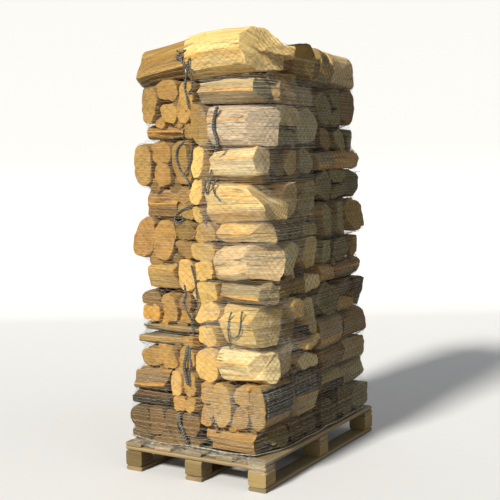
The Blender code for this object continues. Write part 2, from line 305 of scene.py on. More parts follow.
def split_log(draw, direction, run, across, bottom, top, slope):
    """One log that lies in its cell, a little tilted, thinner at one end, its ends cut askew."""
    start = run[0] + draw.uniform(0.0, STAGGER)
    end = run[1] - draw.uniform(0.0, STAGGER)
    tilt = slope + draw.uniform(-MAX_TILT, MAX_TILT)
    drop = abs(tilt) * (end - start) / 2
    shy = draw.uniform(0.0, SHY_TOP) * (top - bottom)
    outline = log_section(draw, across, bottom + LAYER_GAP / 2 + drop,
                          top - LAYER_GAP / 2 - drop - shy)
    thin = draw.uniform(THINNEST, 1.0)
    thickness = (1.0, thin) if draw.random() < 0.5 else (thin, 1.0)
    askew = [(draw.uniform(-MAX_ASKEW, MAX_ASKEW), draw.uniform(-MAX_ASKEW, MAX_ASKEW))
             for _ in range(2)]
    return direction, start, end, outline, tilt, thickness, askew, (*across, bottom, top)


def bag_logs(draw, box, courses):
    """The logs of one bag, each with the number of its course."""
    (x0, x1), (y0, y1) = box
    logs = []
    for course, (direction, bottom, top, columns, *slope) in enumerate(courses):
        across = (y0, y1) if direction == "x" else (x0, x1)
        runs = [(x0, x1)]
        if direction == "y":
            middle = y0 + LOG_LENGTH if y0 == FRONT else y1 - LOG_LENGTH
            runs = [(y0, middle - LOG_GAP), (middle + LOG_GAP, y1)]
        for run in runs:
            edges = (across[0] + draw.uniform(0.0, SET_BACK), across[1] - draw.uniform(0.0, SET_BACK))
            for stacked, (near, far) in zip(columns, shares(draw, len(columns), *edges)):
                cell = (near + LOG_GAP / 2, far - LOG_GAP / 2)
                for low, high in shares(draw, stacked, bottom, top):
                    log = split_log(draw, direction, run, cell, low, high, sum(slope))
                    logs.append((course, log))
    return logs


def stack_bags():
    """Every bag as (name, layer, corner, box, logs)."""
    half = BAG_GAP / 2
    bags = []
    for layer, rows in enumerate(zip(FRONT_LEFT, FRONT_RIGHT, REAR_RIGHT, REAR_LEFT)):
        reach = [row[0] for row in rows]
        boxes = (
            ((reach[0], FRONT_SEAM_X - half), (FRONT, LEFT_SEAM_Y - half)),
            ((FRONT_SEAM_X + half, reach[1]), (FRONT, RIGHT_SEAM_Y - half)),
            ((REAR_SEAM_X + half, RIGHT), (RIGHT_SEAM_Y + half, reach[2])),
            ((reach[3], REAR_SEAM_X - half), (LEFT_SEAM_Y + half, LEFT_REAR)),
        )
        for number, (corner, box, row) in enumerate(zip(CORNERS, boxes, rows)):
            draw = random.Random(SEED * 1000 + 4 * layer + number)
            name = f"bag_{layer + 1:02d}_{corner}"
            bags.append((name, layer + 1, corner, box, bag_logs(draw, box, row[1])))
    return bags


# Mesh making


def make_piece(name, points, faces, materials, corner_uv=None, face_material=None, smooth=35.0):
    """A mesh piece from an array of points and a list of arrays of faces of equal length.

    corner_uv and face_material go in the order of the faces. Edges sharper than the smooth
    angle stay sharp.
    """
    mesh = bpy.data.meshes.new(name)
    mesh.vertices.add(len(points))
    mesh.vertices.foreach_set("co", np.asarray(points, np.float32).ravel())
    lengths = np.concatenate([np.full(len(part), part.shape[1]) for part in faces])
    corners = np.concatenate([part.ravel() for part in faces])
    mesh.loops.add(len(corners))
    mesh.loops.foreach_set("vertex_index", corners.astype(np.int32))
    mesh.polygons.add(len(lengths))
    starts = np.concatenate([[0], np.cumsum(lengths)[:-1]])
    mesh.polygons.foreach_set("loop_start", starts.astype(np.int32))
    for material in materials:
        mesh.materials.append(material)
    if face_material is not None:
        mesh.polygons.foreach_set("material_index", np.asarray(face_material, np.int32))
    mesh.update(calc_edges=True)
    if corner_uv is not None:
        layer = mesh.uv_layers.new(name="grain")
        layer.data.foreach_set("uv", np.asarray(corner_uv, np.float32).ravel())
    mesh.shade_smooth()
    mesh.set_sharp_from_angle(angle=math.radians(smooth))
    piece = bpy.data.objects.new(name, mesh)
    bpy.context.scene.collection.objects.link(piece)
    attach(piece, BODY)
    return piece


def colour_points(piece, name, colours):
    """Keeps four numbers at each point of a piece, for its material to read."""
    layer = piece.data.attributes.new(name, "FLOAT_COLOR", "POINT")
    layer.data.foreach_set("color", np.asarray(colours, np.float32).ravel())


def grid_faces(lines, count, closed=True):
    """The quads of a grid whose points are numbered line by line, with their lines and columns.

    Quad (i, j) joins points j and j + 1 of lines i and i + 1. A closed grid's last column is
    joined to its first.
    """
    i, j = np.meshgrid(np.arange(lines - 1), np.arange(count if closed else count - 1), indexing="ij")
    k = (j + 1) % count
    return i, j, np.stack([i * count + j, i * count + k, (i + 1) * count + k, (i + 1) * count + j], -1)


def capped_grid(grid, cap, along, around, axes, pith, turned, slanted=None):
    """The points, faces and grain map of a closed grid of rings, with a pole at each end.

    Its first and last cap lines are its ends. The map is (along, around) on the sides, and on
    the ends the way from the pith, or on a far end that was cleft the place times slanted.
    turned reverses the faces.
    """
    lines, count = grid.shape[:2]
    i, j, quads = grid_faces(lines, count)
    column = np.arange(count)
    after = (column + 1) % count
    top, far = (lines - 1) * count, lines - 1 - cap
    fan_a = np.stack([np.full(count, lines * count), after, column], -1)
    fan_b = np.stack([np.full(count, lines * count + 1), top + column, top + after], -1)
    side_uv = np.stack(np.broadcast_arrays(along[:, None], around[None, :]), -1)
    wide = np.concatenate([grid, grid[:, :1]], 1)
    end_uv = wide[..., axes] - pith
    poles = np.stack([grid[0].mean(0), grid[-1].mean(0)])
    pole_uv = poles[:, axes] - pith
    if slanted is not None:
        end_uv[far:] = wide[far:] @ slanted
        pole_uv[1] = poles[1] @ slanted
    is_end = ((i < cap) | (i >= far))[..., None]
    corner = [(i, j), (i, j + 1), (i + 1, j + 1), (i + 1, j)]
    uv = np.stack([np.where(is_end, end_uv[a, b], side_uv[a, b]) for a, b in corner], 2)
    fan_uv = [np.stack([np.broadcast_to(pole_uv[n], (count, 2)), edge[a], edge[b]], 1)
              for n, (edge, a, b) in enumerate(((end_uv[0], after, column), (end_uv[-1], column, after)))]
    flip = slice(None, None, -1 if turned else 1)
    faces = [quads.reshape(-1, 4)[:, flip], np.concatenate([fan_a, fan_b])[:, flip]]
    uvs = [uv.reshape(-1, 4, 2)[:, flip], np.concatenate(fan_uv)[:, flip]]
    return np.concatenate([grid.reshape(-1, 3), poles]), faces, uvs


def tube_faces(rows, steps, sides, closed, first=0):
    """The quads of rows of tubes whose points are numbered row by row, step by step, side by side."""
    last = steps if closed else steps - 1
    r, s, k = np.meshgrid(np.arange(rows), np.arange(last), np.arange(sides), indexing="ij")
    after = (s + 1) % steps
    turn = (k + 1) % sides

    def number(step, side):
        return first + (r * steps + step) * sides + side
    quads = np.stack([number(s, k), number(s, turn), number(after, turn), number(after, k)], -1)
    return quads.reshape(-1, 4)


def tubes(paths, out, radius, sides, closed, section=None):
    """Points and faces of tubes along rows of paths, an array of (row, step, xyz).

    Each step carries a ring in the plane across its path: centre + radius * (cos a * out +
    sin a * side), where out is the given outward direction made square to the path, and side
    is square to both. section, if given, scales the radius at (step, side).
    """
    paths = np.asarray(paths, float)
    rows, steps, _ = paths.shape
    if closed:
        along = np.roll(paths, -1, 1) - np.roll(paths, 1, 1)
    else:
        along = np.gradient(paths, axis=1)
    along /= np.linalg.norm(along, axis=2, keepdims=True)
    out = np.broadcast_to(out, paths.shape)
    out = out - along * np.sum(out * along, 2, keepdims=True)
    out /= np.linalg.norm(out, axis=2, keepdims=True)
    side = np.cross(out, along)
    angle = math.tau * np.arange(sides) / sides
    reach = np.broadcast_to(np.asarray(radius, float), (rows, steps))[..., None, None]
    if section is not None:
        reach = reach * section[None, :, :, None]
    ring = (np.cos(angle)[None, None, :, None] * out[:, :, None]
            + np.sin(angle)[None, None, :, None] * side[:, :, None])
    points = (paths[:, :, None] + reach * ring).reshape(-1, 3)
    faces = [tube_faces(rows, steps, sides, closed)]
    if not closed:
        base = np.arange(rows)[:, None] * steps * sides
        faces.append(base + np.arange(sides)[None, ::-1])
        faces.append(base + (steps - 1) * sides + np.arange(sides)[None, :])
    return points, faces


def measured(path):
    """How far along a path each of its points lies."""
    return np.concatenate([[0.0], np.cumsum(np.linalg.norm(np.diff(path, axis=0), axis=1))])


def outward(turn):
    """The level ways out at some angles."""
    return np.stack([np.cos(turn), np.sin(turn), np.zeros_like(turn)], -1)


def joined(parts):
    """Several (points, faces) put into one."""
    points = np.concatenate([p for p, _ in parts])
    faces = []
    first = 0
    for part, groups in parts:
        faces += [group + first for group in groups]
        first += len(part)
    return points, faces


def smooth_waves(rng, places, turns, amplitude, reach=3):
    """A smooth random curve: a sum of sines of rising count, each weaker than the last."""
    total = np.zeros_like(places, dtype=float)
    for count in range(1, reach + 1):
        total += rng.normal() / count * np.sin(math.tau * count * turns * places + rng.uniform(0, math.tau))
    return amplitude * total


# Node helpers


def put(tree, kind, inputs=None, **settings):
    """Adds a node, sets its settings, and fills its inputs: a socket is linked, a value is set."""
    made = tree.nodes.new(kind)
    for name, value in settings.items():
        setattr(made, name, value)
    for key, value in (inputs or {}).items():
        if isinstance(value, bpy.types.NodeSocket):
            tree.links.new(value, made.inputs[key])
        else:
            made.inputs[key].default_value = value
    return made


def math_node(tree, operation, first, second=0.0, third=0.0):
    """One step of arithmetic, as a socket."""
    return put(tree, "ShaderNodeMath", {0: first, 1: second, 2: third}, operation=operation).outputs[0]


def product(tree, first, second):
    """Two numbers multiplied, as a socket."""
    return math_node(tree, "MULTIPLY", first, second)


def remap(tree, value, low, high, to_low=0.0, to_high=1.0):
    """Takes low..high to to_low..to_high and stops there, as a socket."""
    inputs = {"Value": value, "From Min": low, "From Max": high, "To Min": to_low, "To Max": to_high}
    return put(tree, "ShaderNodeMapRange", inputs).outputs[0]


def tint(tree, factor, first, second, blend="MIX"):
    """Mixes two colours, as a socket."""
    inputs = {0: factor, 6: first, 7: second}
    return put(tree, "ShaderNodeMix", inputs, data_type="RGBA", blend_type=blend).outputs[2]


def times(tree, colour, red, green, blue):
    """A colour times a fixed one, as a socket."""
    return tint(tree, 1.0, colour, (red, green, blue, 1.0), "MULTIPLY")


def scaled(tree, vector, scale, offset=None):
    """A vector times a fixed one, plus an offset socket in z, as a socket."""
    socket = put(tree, "ShaderNodeVectorMath", {0: vector, 1: scale}, operation="MULTIPLY").outputs[0]
    if offset is None:
        return socket
    push = put(tree, "ShaderNodeCombineXYZ", {"Z": offset}).outputs[0]
    return put(tree, "ShaderNodeVectorMath", {0: socket, 1: push}, operation="ADD").outputs[0]


def noise(tree, vector, scale=1.0, detail=3.0, roughness=0.55, distortion=0.0):
    """Noise from 0 to 1, as a socket."""
    inputs = {"Vector": vector, "Scale": scale, "Detail": detail, "Roughness": roughness,
              "Distortion": distortion}
    return put(tree, "ShaderNodeTexNoise", inputs).outputs["Fac"]


def place_on(tree):
    """The place on the object in metres, as a socket."""
    return put(tree, "ShaderNodeTexCoord").outputs["Object"]


def new_group(name, values, results):
    """A shader group that takes a vector and named values, with its input and output nodes."""
    group = bpy.data.node_groups.new(name, "ShaderNodeTree")
    group.interface.new_socket("Vector", in_out="INPUT", socket_type="NodeSocketVector")
    for label, default in values.items():
        socket = group.interface.new_socket(label, in_out="INPUT", socket_type="NodeSocketFloat")
        socket.default_value = default
    for label in results:
        group.interface.new_socket(label, in_out="OUTPUT", socket_type="NodeSocketFloat")
    return group, group.nodes.new("NodeGroupInput").outputs, group.nodes.new("NodeGroupOutput").inputs


def use_group(tree, group, inputs):
    """Places a shader group with its own values, and gives its outputs."""
    return put(tree, "ShaderNodeGroup", inputs, node_tree=group).outputs


def wood_fibre_group():
    """Fibres, streaks and drying cracks that run along the grain, which is the vector's x."""
    group, inputs, outputs = new_group("wood_fibre", {"Seed": 0.0, "Crack Width": 0.02},
                                       ("Fibre", "Streak", "Crack", "Height"))
    seed = product(group, inputs["Seed"], 61.0)
    fibre = noise(group, scaled(group, inputs["Vector"], (7.0, 210.0, 1.0), seed), detail=4.0, roughness=0.62)
    streak = noise(group, scaled(group, inputs["Vector"], (2.2, 34.0, 1.0), seed), detail=3.0, distortion=0.6)
    line = noise(group, scaled(group, inputs["Vector"], (2.6, 46.0, 1.0), seed), detail=2.0, distortion=0.3)
    away = math_node(group, "ABSOLUTE", math_node(group, "SUBTRACT", line, 0.42))
    crack = put(group, "ShaderNodeMapRange", {"Value": away, "From Min": 0.0, "From Max": inputs["Crack Width"],
                                             "To Min": 1.0, "To Max": 0.0}).outputs[0]
    here = remap(group, noise(group, scaled(group, inputs["Vector"], (5.0, 9.0, 1.0), seed), detail=1.0), 0.5, 0.62)
    crack = product(group, crack, here)
    group.links.new(remap(group, fibre, 0.3, 0.7), outputs["Fibre"])
    group.links.new(remap(group, streak, 0.32, 0.68), outputs["Streak"])
    group.links.new(crack, outputs["Crack"])
    height = math_node(group, "ADD", fibre, product(group, streak, 0.8))
    group.links.new(math_node(group, "SUBTRACT", height, crack), outputs["Height"])
    return group


def growth_ring_group():
    """Growth rings round the vector's zero, checks that run out from it, and saw marks."""
    group, inputs, outputs = new_group("growth_rings", {"Seed": 0.0, "Ring Width": 0.004},
                                       ("Ring", "Check", "Grain", "Height"))
    seed = product(group, inputs["Seed"], 47.0)
    wander = noise(group, scaled(group, inputs["Vector"], (16.0, 16.0, 1.0), seed), detail=2.0)
    radius = put(group, "ShaderNodeVectorMath", {0: inputs["Vector"]}, operation="LENGTH").outputs["Value"]
    radius = math_node(group, "MULTIPLY_ADD", wander, 0.014, radius)
    wave = math_node(group, "SINE", product(group, math_node(
        group, "DIVIDE", radius, inputs["Ring Width"]), math.tau))
    apart = put(group, "ShaderNodeSeparateXYZ", {0: inputs["Vector"]}).outputs
    angle = math_node(group, "ARCTAN2", apart["Y"], apart["X"])
    spoke = put(group, "ShaderNodeCombineXYZ", {"X": product(group, angle, 7.0),
                                                "Y": product(group, radius, 9.0), "Z": seed})
    line = noise(group, spoke.outputs[0], detail=1.0)
    away = math_node(group, "ABSOLUTE", math_node(group, "SUBTRACT", line, 0.47))
    check = remap(group, away, 0.0, 0.011, 1.0, 0.0)
    here = remap(group, noise(group, scaled(group, inputs["Vector"], (26.0, 26.0, 1.0), seed), detail=0.0), 0.5, 0.6)
    check = product(group, check, here)
    grain = noise(group, scaled(group, inputs["Vector"], (420.0, 420.0, 1.0), seed), detail=2.0)
    saw = noise(group, scaled(group, inputs["Vector"], (20.0, 330.0, 1.0), seed), detail=2.0)
    group.links.new(remap(group, wave, -0.6, 1.0), outputs["Ring"])
    group.links.new(check, outputs["Check"])
    group.links.new(remap(group, grain, 0.3, 0.7), outputs["Grain"])
    height = math_node(group, "MULTIPLY_ADD", saw, 0.9, product(group, grain, 0.5))
    group.links.new(math_node(group, "SUBTRACT", height, product(group, check, 1.6)),
                    outputs["Height"])
    return group


def weather_group():
    """Patches where rain, sun and dust have changed a wood's colour."""
    group, inputs, outputs = new_group("weather", {"Patch Size": 0.12},
                                       ("Patch", "Speckle"))
    scale = math_node(group, "DIVIDE", 1.0, inputs["Patch Size"])
    patch = noise(group, inputs["Vector"], scale, detail=5.0, roughness=0.62)
    speckle = noise(group, inputs["Vector"], 190.0, detail=2.0, roughness=0.7)
    group.links.new(remap(group, patch, 0.44, 0.66), outputs["Patch"])
    group.links.new(remap(group, speckle, 0.56, 0.72), outputs["Speckle"])
    return group


def bark_group():
    """Bark plates with deep fissures between them, longer along the grain than across it."""
    group, inputs, outputs = new_group("bark_plates", {"Seed": 0.0},
                                       ("Plate", "Tone", "Height"))
    seed = product(group, inputs["Seed"], 29.0)
    place = scaled(group, inputs["Vector"], (26.0, 95.0, 1.0), seed)
    bend = noise(group, scaled(group, inputs["Vector"], (30.0, 60.0, 1.0), seed), detail=3.0)
    place = put(group, "ShaderNodeVectorMath", {0: place, 1: put(group, "ShaderNodeCombineXYZ", {
        "X": bend, "Y": product(group, bend, 2.2)}).outputs[0]}, operation="ADD").outputs[0]
    cells = put(group, "ShaderNodeTexVoronoi", {"Vector": place, "Scale": 1.0}, feature="DISTANCE_TO_EDGE")
    plate = remap(group, cells.outputs["Distance"], 0.02, 0.24)
    tone = noise(group, scaled(group, inputs["Vector"], (40.0, 160.0, 1.0), seed), detail=4.0)
    group.links.new(plate, outputs["Plate"])
    group.links.new(remap(group, tone, 0.3, 0.7), outputs["Tone"])
    group.links.new(math_node(group, "MULTIPLY_ADD", tone, 0.5, plate), outputs["Height"])
    return group


def new_material(name, roughness):
    """A Principled material and its node tree."""
    material = bpy.data.materials.new(name)
    material.use_nodes = True
    shader = material.node_tree.nodes["Principled BSDF"]
    shader.inputs["Roughness"].default_value = roughness
    return material, material.node_tree, shader.inputs


def bump(tree, height, distance, strength, shader):
    """Feeds a height to the shader's normal."""
    made = put(tree, "ShaderNodeBump", {"Height": height, "Distance": distance, "Strength": strength})
    tree.links.new(made.outputs[0], shader["Normal"])


def wood_inputs(tree, kind="log"):
    """What a wood's material reads: its grain map, its own colour and seed, its marks and its place."""
    grain = put(tree, "ShaderNodeUVMap", uv_map="grain").outputs[0]
    own = put(tree, "ShaderNodeAttribute", attribute_name=kind + "_colour").outputs
    marks = put(tree, "ShaderNodeAttribute", attribute_name=kind + "_marks").outputs["Vector"]
    marks = put(tree, "ShaderNodeSeparateXYZ", {0: marks}).outputs
    place = place_on(tree)
    return grain, own["Color"], own["Alpha"], marks, place


def split_face_material(groups, looks):
    """The cleft faces of a log: long fibres, streaks, cracks, fresh orange along the edges."""
    material, tree, shader = new_material("cleft_wood", 0.72)
    grain, own, seed, marks, place = wood_inputs(tree)
    fibre = use_group(tree, groups["fibre"], {"Vector": grain, "Seed": seed, "Crack Width": 0.045})
    weather = use_group(tree, groups["weather"], {"Vector": place, "Patch Size": 0.11})
    dark = times(tree, own, 0.52, 0.43, 0.35)
    light = times(tree, own, 1.30, 1.32, 1.36)
    colour = tint(tree, fibre["Fibre"], dark, light)
    streak = product(tree, fibre["Streak"], 0.75)
    colour = tint(tree, streak, colour, times(tree, own, 0.80, 0.62, 0.42))
    fresh = product(tree, marks["X"], remap(tree, fibre["Streak"], 0.25, 0.8))
    colour = tint(tree, fresh, colour, (*looks.fresh_orange, 1.0))
    worn = product(tree, weather["Patch"], 0.22)
    colour = tint(tree, worn, colour, (*looks.weathered_grey, 1.0))
    colour = tint(tree, product(tree, fibre["Crack"], 0.85), colour, (0.055, 0.030, 0.012, 1.0))
    tree.links.new(colour, shader["Base Color"])
    tree.links.new(remap(tree, fibre["Fibre"], 0.0, 1.0, 0.84, 0.62), shader["Roughness"])
    bump(tree, fibre["Height"], 0.0022, 0.9, shader)
    return material


def sawn_end_material(groups, looks):
    """The sawn ends of a log: growth rings round its pith, checks, saw marks, and a bark rim."""
    material, tree, shader = new_material("sawn_log_end", 0.8)
    grain, own, seed, marks, place = wood_inputs(tree)
    rings = use_group(tree, groups["rings"], {"Vector": grain, "Seed": seed, "Ring Width": 0.0045})
    weather = use_group(tree, groups["weather"], {"Vector": place, "Patch Size": 0.05})
    base = times(tree, own, 1.02, 0.93, 0.80)
    dark = times(tree, own, 0.74, 0.60, 0.44)
    colour = tint(tree, product(tree, rings["Ring"], 0.62), base, dark)
    light = times(tree, own, 1.22, 1.25, 1.20)
    colour = tint(tree, product(tree, rings["Grain"], 0.35), colour, light)
    stain = product(tree, weather["Patch"], 0.42)
    colour = tint(tree, stain, colour, times(tree, own, 0.66, 0.52, 0.40))
    colour = tint(tree, product(tree, rings["Check"], 0.9), colour, (0.06, 0.032, 0.012, 1.0))
    rim = product(tree, marks["Y"], 0.9)
    colour = tint(tree, rim, colour, (*looks.bark, 1.0))
    tree.links.new(colour, shader["Base Color"])
    bump(tree, rings["Height"], 0.0012, 0.8, shader)
    return material


def bark_material(groups, looks):
    """Bark: grey-brown plates with dark fissures."""
    material, tree, shader = new_material("bark", 0.9)
    grain, _, seed, _, place = wood_inputs(tree)
    bark = use_group(tree, groups["bark"], {"Vector": grain, "Seed": seed})
    weather = use_group(tree, groups["weather"], {"Vector": place, "Patch Size": 0.07})
    pale = tuple(min(1.0, 2.1 * c) for c in looks.bark)
    colour = tint(tree, bark["Tone"], (*looks.bark, 1.0), (*pale, 1.0))
    colour = tint(tree, product(tree, weather["Patch"], 0.5), colour, (*looks.weathered_grey, 1.0))
    colour = tint(tree, bark["Plate"], (0.022, 0.015, 0.010, 1.0), colour)
    tree.links.new(colour, shader["Base Color"])
    bump(tree, bark["Height"], 0.005, 1.0, shader)
    return material


def board_material(groups, name, base, grey, dust):
    """Rough-sawn pallet wood that has weathered and been handled."""
    material, tree, shader = new_material(name, 0.82)
    grain, own, seed, marks, place = wood_inputs(tree, "board")
    fibre = use_group(tree, groups["fibre"], {"Vector": grain, "Seed": seed, "Crack Width": 0.014})
    rings = use_group(tree, groups["rings"], {"Vector": grain, "Seed": seed, "Ring Width": 0.005})
    weather = use_group(tree, groups["weather"], {"Vector": place, "Patch Size": 0.16})
    wood = times(tree, own, *base)
    dark = times(tree, wood, 0.52, 0.46, 0.40)
    side = tint(tree, fibre["Fibre"], dark, wood)
    side = tint(tree, product(tree, fibre["Streak"], 0.5), side,
                times(tree, wood, 0.80, 0.66, 0.50))
    side = tint(tree, product(tree, fibre["Crack"], 0.8), side, (0.035, 0.028, 0.018, 1.0))
    end = tint(tree, product(tree, rings["Ring"], 0.7), wood, dark)
    colour = tint(tree, marks["Y"], side, end)
    colour = tint(tree, product(tree, weather["Patch"], dust), colour, (*grey, 1.0))
    worn = product(tree, marks["X"], 0.55)
    colour = tint(tree, worn, colour, times(tree, wood, 1.5, 1.45, 1.35))
    colour = tint(tree, product(tree, weather["Speckle"], 0.3), colour, (0.05, 0.04, 0.03, 1.0))
    tree.links.new(colour, shader["Base Color"])
    bump(tree, fibre["Height"], 0.0016, 0.9, shader)
    return material


def thread_material(name, colour, roughness, coat):
    """A plastic thread: a plain colour with a dusty variation along it, under a clear sheen."""
    material, tree, shader = new_material(name, roughness)
    place = place_on(tree)
    worn = noise(tree, place, 38.0, detail=3.0)
    dark = tuple(0.55 * c for c in colour)
    mixed = tint(tree, remap(tree, worn, 0.35, 0.65), (*dark, 1.0), (*colour, 1.0))
    tree.links.new(mixed, shader["Base Color"])
    tree.links.new(remap(tree, worn, 0.3, 0.7, roughness, roughness + 0.25), shader["Roughness"])
    shader["Coat Weight"].default_value = coat
    return material


def cord_material(looks):
    """Twisted cord: dark yarns with a pale fleck on each, wound round by its own map."""
    material, tree, shader = new_material("draw_cord_yarn", 0.68)
    grain = put(tree, "ShaderNodeUVMap", uv_map="grain").outputs[0]
    apart = put(tree, "ShaderNodeSeparateXYZ", {0: grain}).outputs
    wound = math_node(tree, "MULTIPLY_ADD", apart["X"], 1.0 / looks.twist, apart["Y"])
    yarn = math_node(tree, "SINE", product(tree, wound, 2.0 * math.tau))
    hair = noise(tree, scaled(tree, grain, (900.0, 40.0, 1.0)), detail=3.0)
    colour = tint(tree, remap(tree, yarn, -0.2, 0.9), (*looks.dark_yarn, 1.0), (*looks.pale_yarn, 1.0))
    colour = tint(tree, remap(tree, hair, 0.45, 0.75), colour, (*looks.dark_yarn, 1.0))
    tree.links.new(colour, shader["Base Color"])
    bump(tree, math_node(tree, "ADD", yarn, hair), 0.0012, 0.8, shader)
    return material


# Logs


def even_outline(corners, count, passes):
    """Points evenly spaced round a polygon, each eased a number of times towards its neighbours.

    Gives the points, their outward normals, how far each has gone round, and the lengths at
    which the corners stand.
    """
    corners = np.array(corners)
    ring = np.vstack([corners, corners[:1]])
    walked = measured(ring)
    places = np.linspace(0.0, walked[-1], count, endpoint=False)
    points = np.stack([np.interp(places, walked, ring[:, i]) for i in (0, 1)], 1)
    for _ in range(passes):
        points = (np.roll(points, 1, 0) + 2 * points + np.roll(points, -1, 0)) / 4
    tangent = np.roll(points, -1, 0) - np.roll(points, 1, 0)
    normal = np.stack([tangent[:, 1], -tangent[:, 0]], 1)
    normal /= np.linalg.norm(normal, axis=1, keepdims=True)
    return points, normal, places, walked


def filled(points, low, high, fullness):
    """Moves an outline part of the way out to a rounded rectangle.

    The rectangle is |a|^3 + |b|^3 = 1 with half the cell's width and height as its units, and
    each point moves along its own ray from the middle.
    """
    middle, half = (low + high) / 2, (high - low) / 2
    away = points - middle
    reach = np.sum(np.abs(away / half) ** 3, 1) ** (-1.0 / 3.0)
    return points + fullness * (reach - 1.0)[:, None] * away


def cleft_relief(rng, count, part, depth):
    """How far a cleft face stands in or out, at (ring, point).

    A sum of waves round the log, which drift a little on their way along it, so that they read
    as fibres that run with the grain, and a few sawtooth steps, depth * (0.5 - the fraction of
    the way round from the step), whose edges wander.
    """
    s = np.arange(count) / count
    t = part[:, None]
    total = np.zeros((len(part), count))
    for waves, weight in ((2, 2.0), (3, 1.7), (5, 1.2), (8, 0.9), (11, 0.7), (15, 0.5)):
        drift = rng.normal(0.0, 0.30)
        swell = 1.0 + 0.6 * np.sin(math.tau * (t * rng.uniform(0.5, 1.8) + rng.uniform()))
        total += weight * swell * np.sin(math.tau * (waves * s + drift * t + rng.uniform()))
    for _ in range(4):
        bend = 0.04 * np.sin(math.tau * (t * rng.uniform(0.6, 2.4) + rng.uniform()))
        total += rng.uniform(1.5, 5.0) * (0.5 - (s - rng.uniform() + bend) % 1.0)
    return depth * total


def wane(rng, count, part, depth):
    """How much of a log is missing towards its ends, at (ring, point).

    A smooth lobe on one side, (0.5 + 0.5 cos of the angle from that side)^2, times a smooth
    rise towards each end that starts somewhere past the middle.
    """
    s = np.arange(count) / count
    total = np.zeros((len(part), count))
    for end in (part, 1.0 - part):
        lobe = (0.5 + 0.5 * np.cos(math.tau * (s - rng.uniform()))) ** 2
        start = rng.uniform(0.45, 0.85)
        rise = np.clip((end - start) / (1.0 - start), 0.0, 1.0)
        total += depth * rng.uniform(0.0, 1.0) * lobe[None] * (rise * rise * (3 - 2 * rise))[:, None]
    return total


def bark_columns(outline, walked, places, wanted):
    """Which columns of a log carry bark: those on the edge that faces the wanted way."""
    ring = np.array(outline)
    step = np.roll(ring, -1, 0) - ring
    outward = np.stack([step[:, 1], -step[:, 0]], 1)
    long = np.linalg.norm(outward, axis=1, keepdims=True)
    edge = int(np.argmax((outward / long) @ np.asarray(wanted) + 4.0 * long[:, 0]))
    low, high = walked[edge], walked[edge + 1]
    part = (places - low) / (high - low)
    inside = (part >= 0.0) & (part <= 1.0)
    swell = np.where(inside, np.sin(math.pi * np.clip(part, 0, 1)), 0.0)
    return inside, swell, ring[(edge + len(ring) // 2 + 1) % len(ring)]


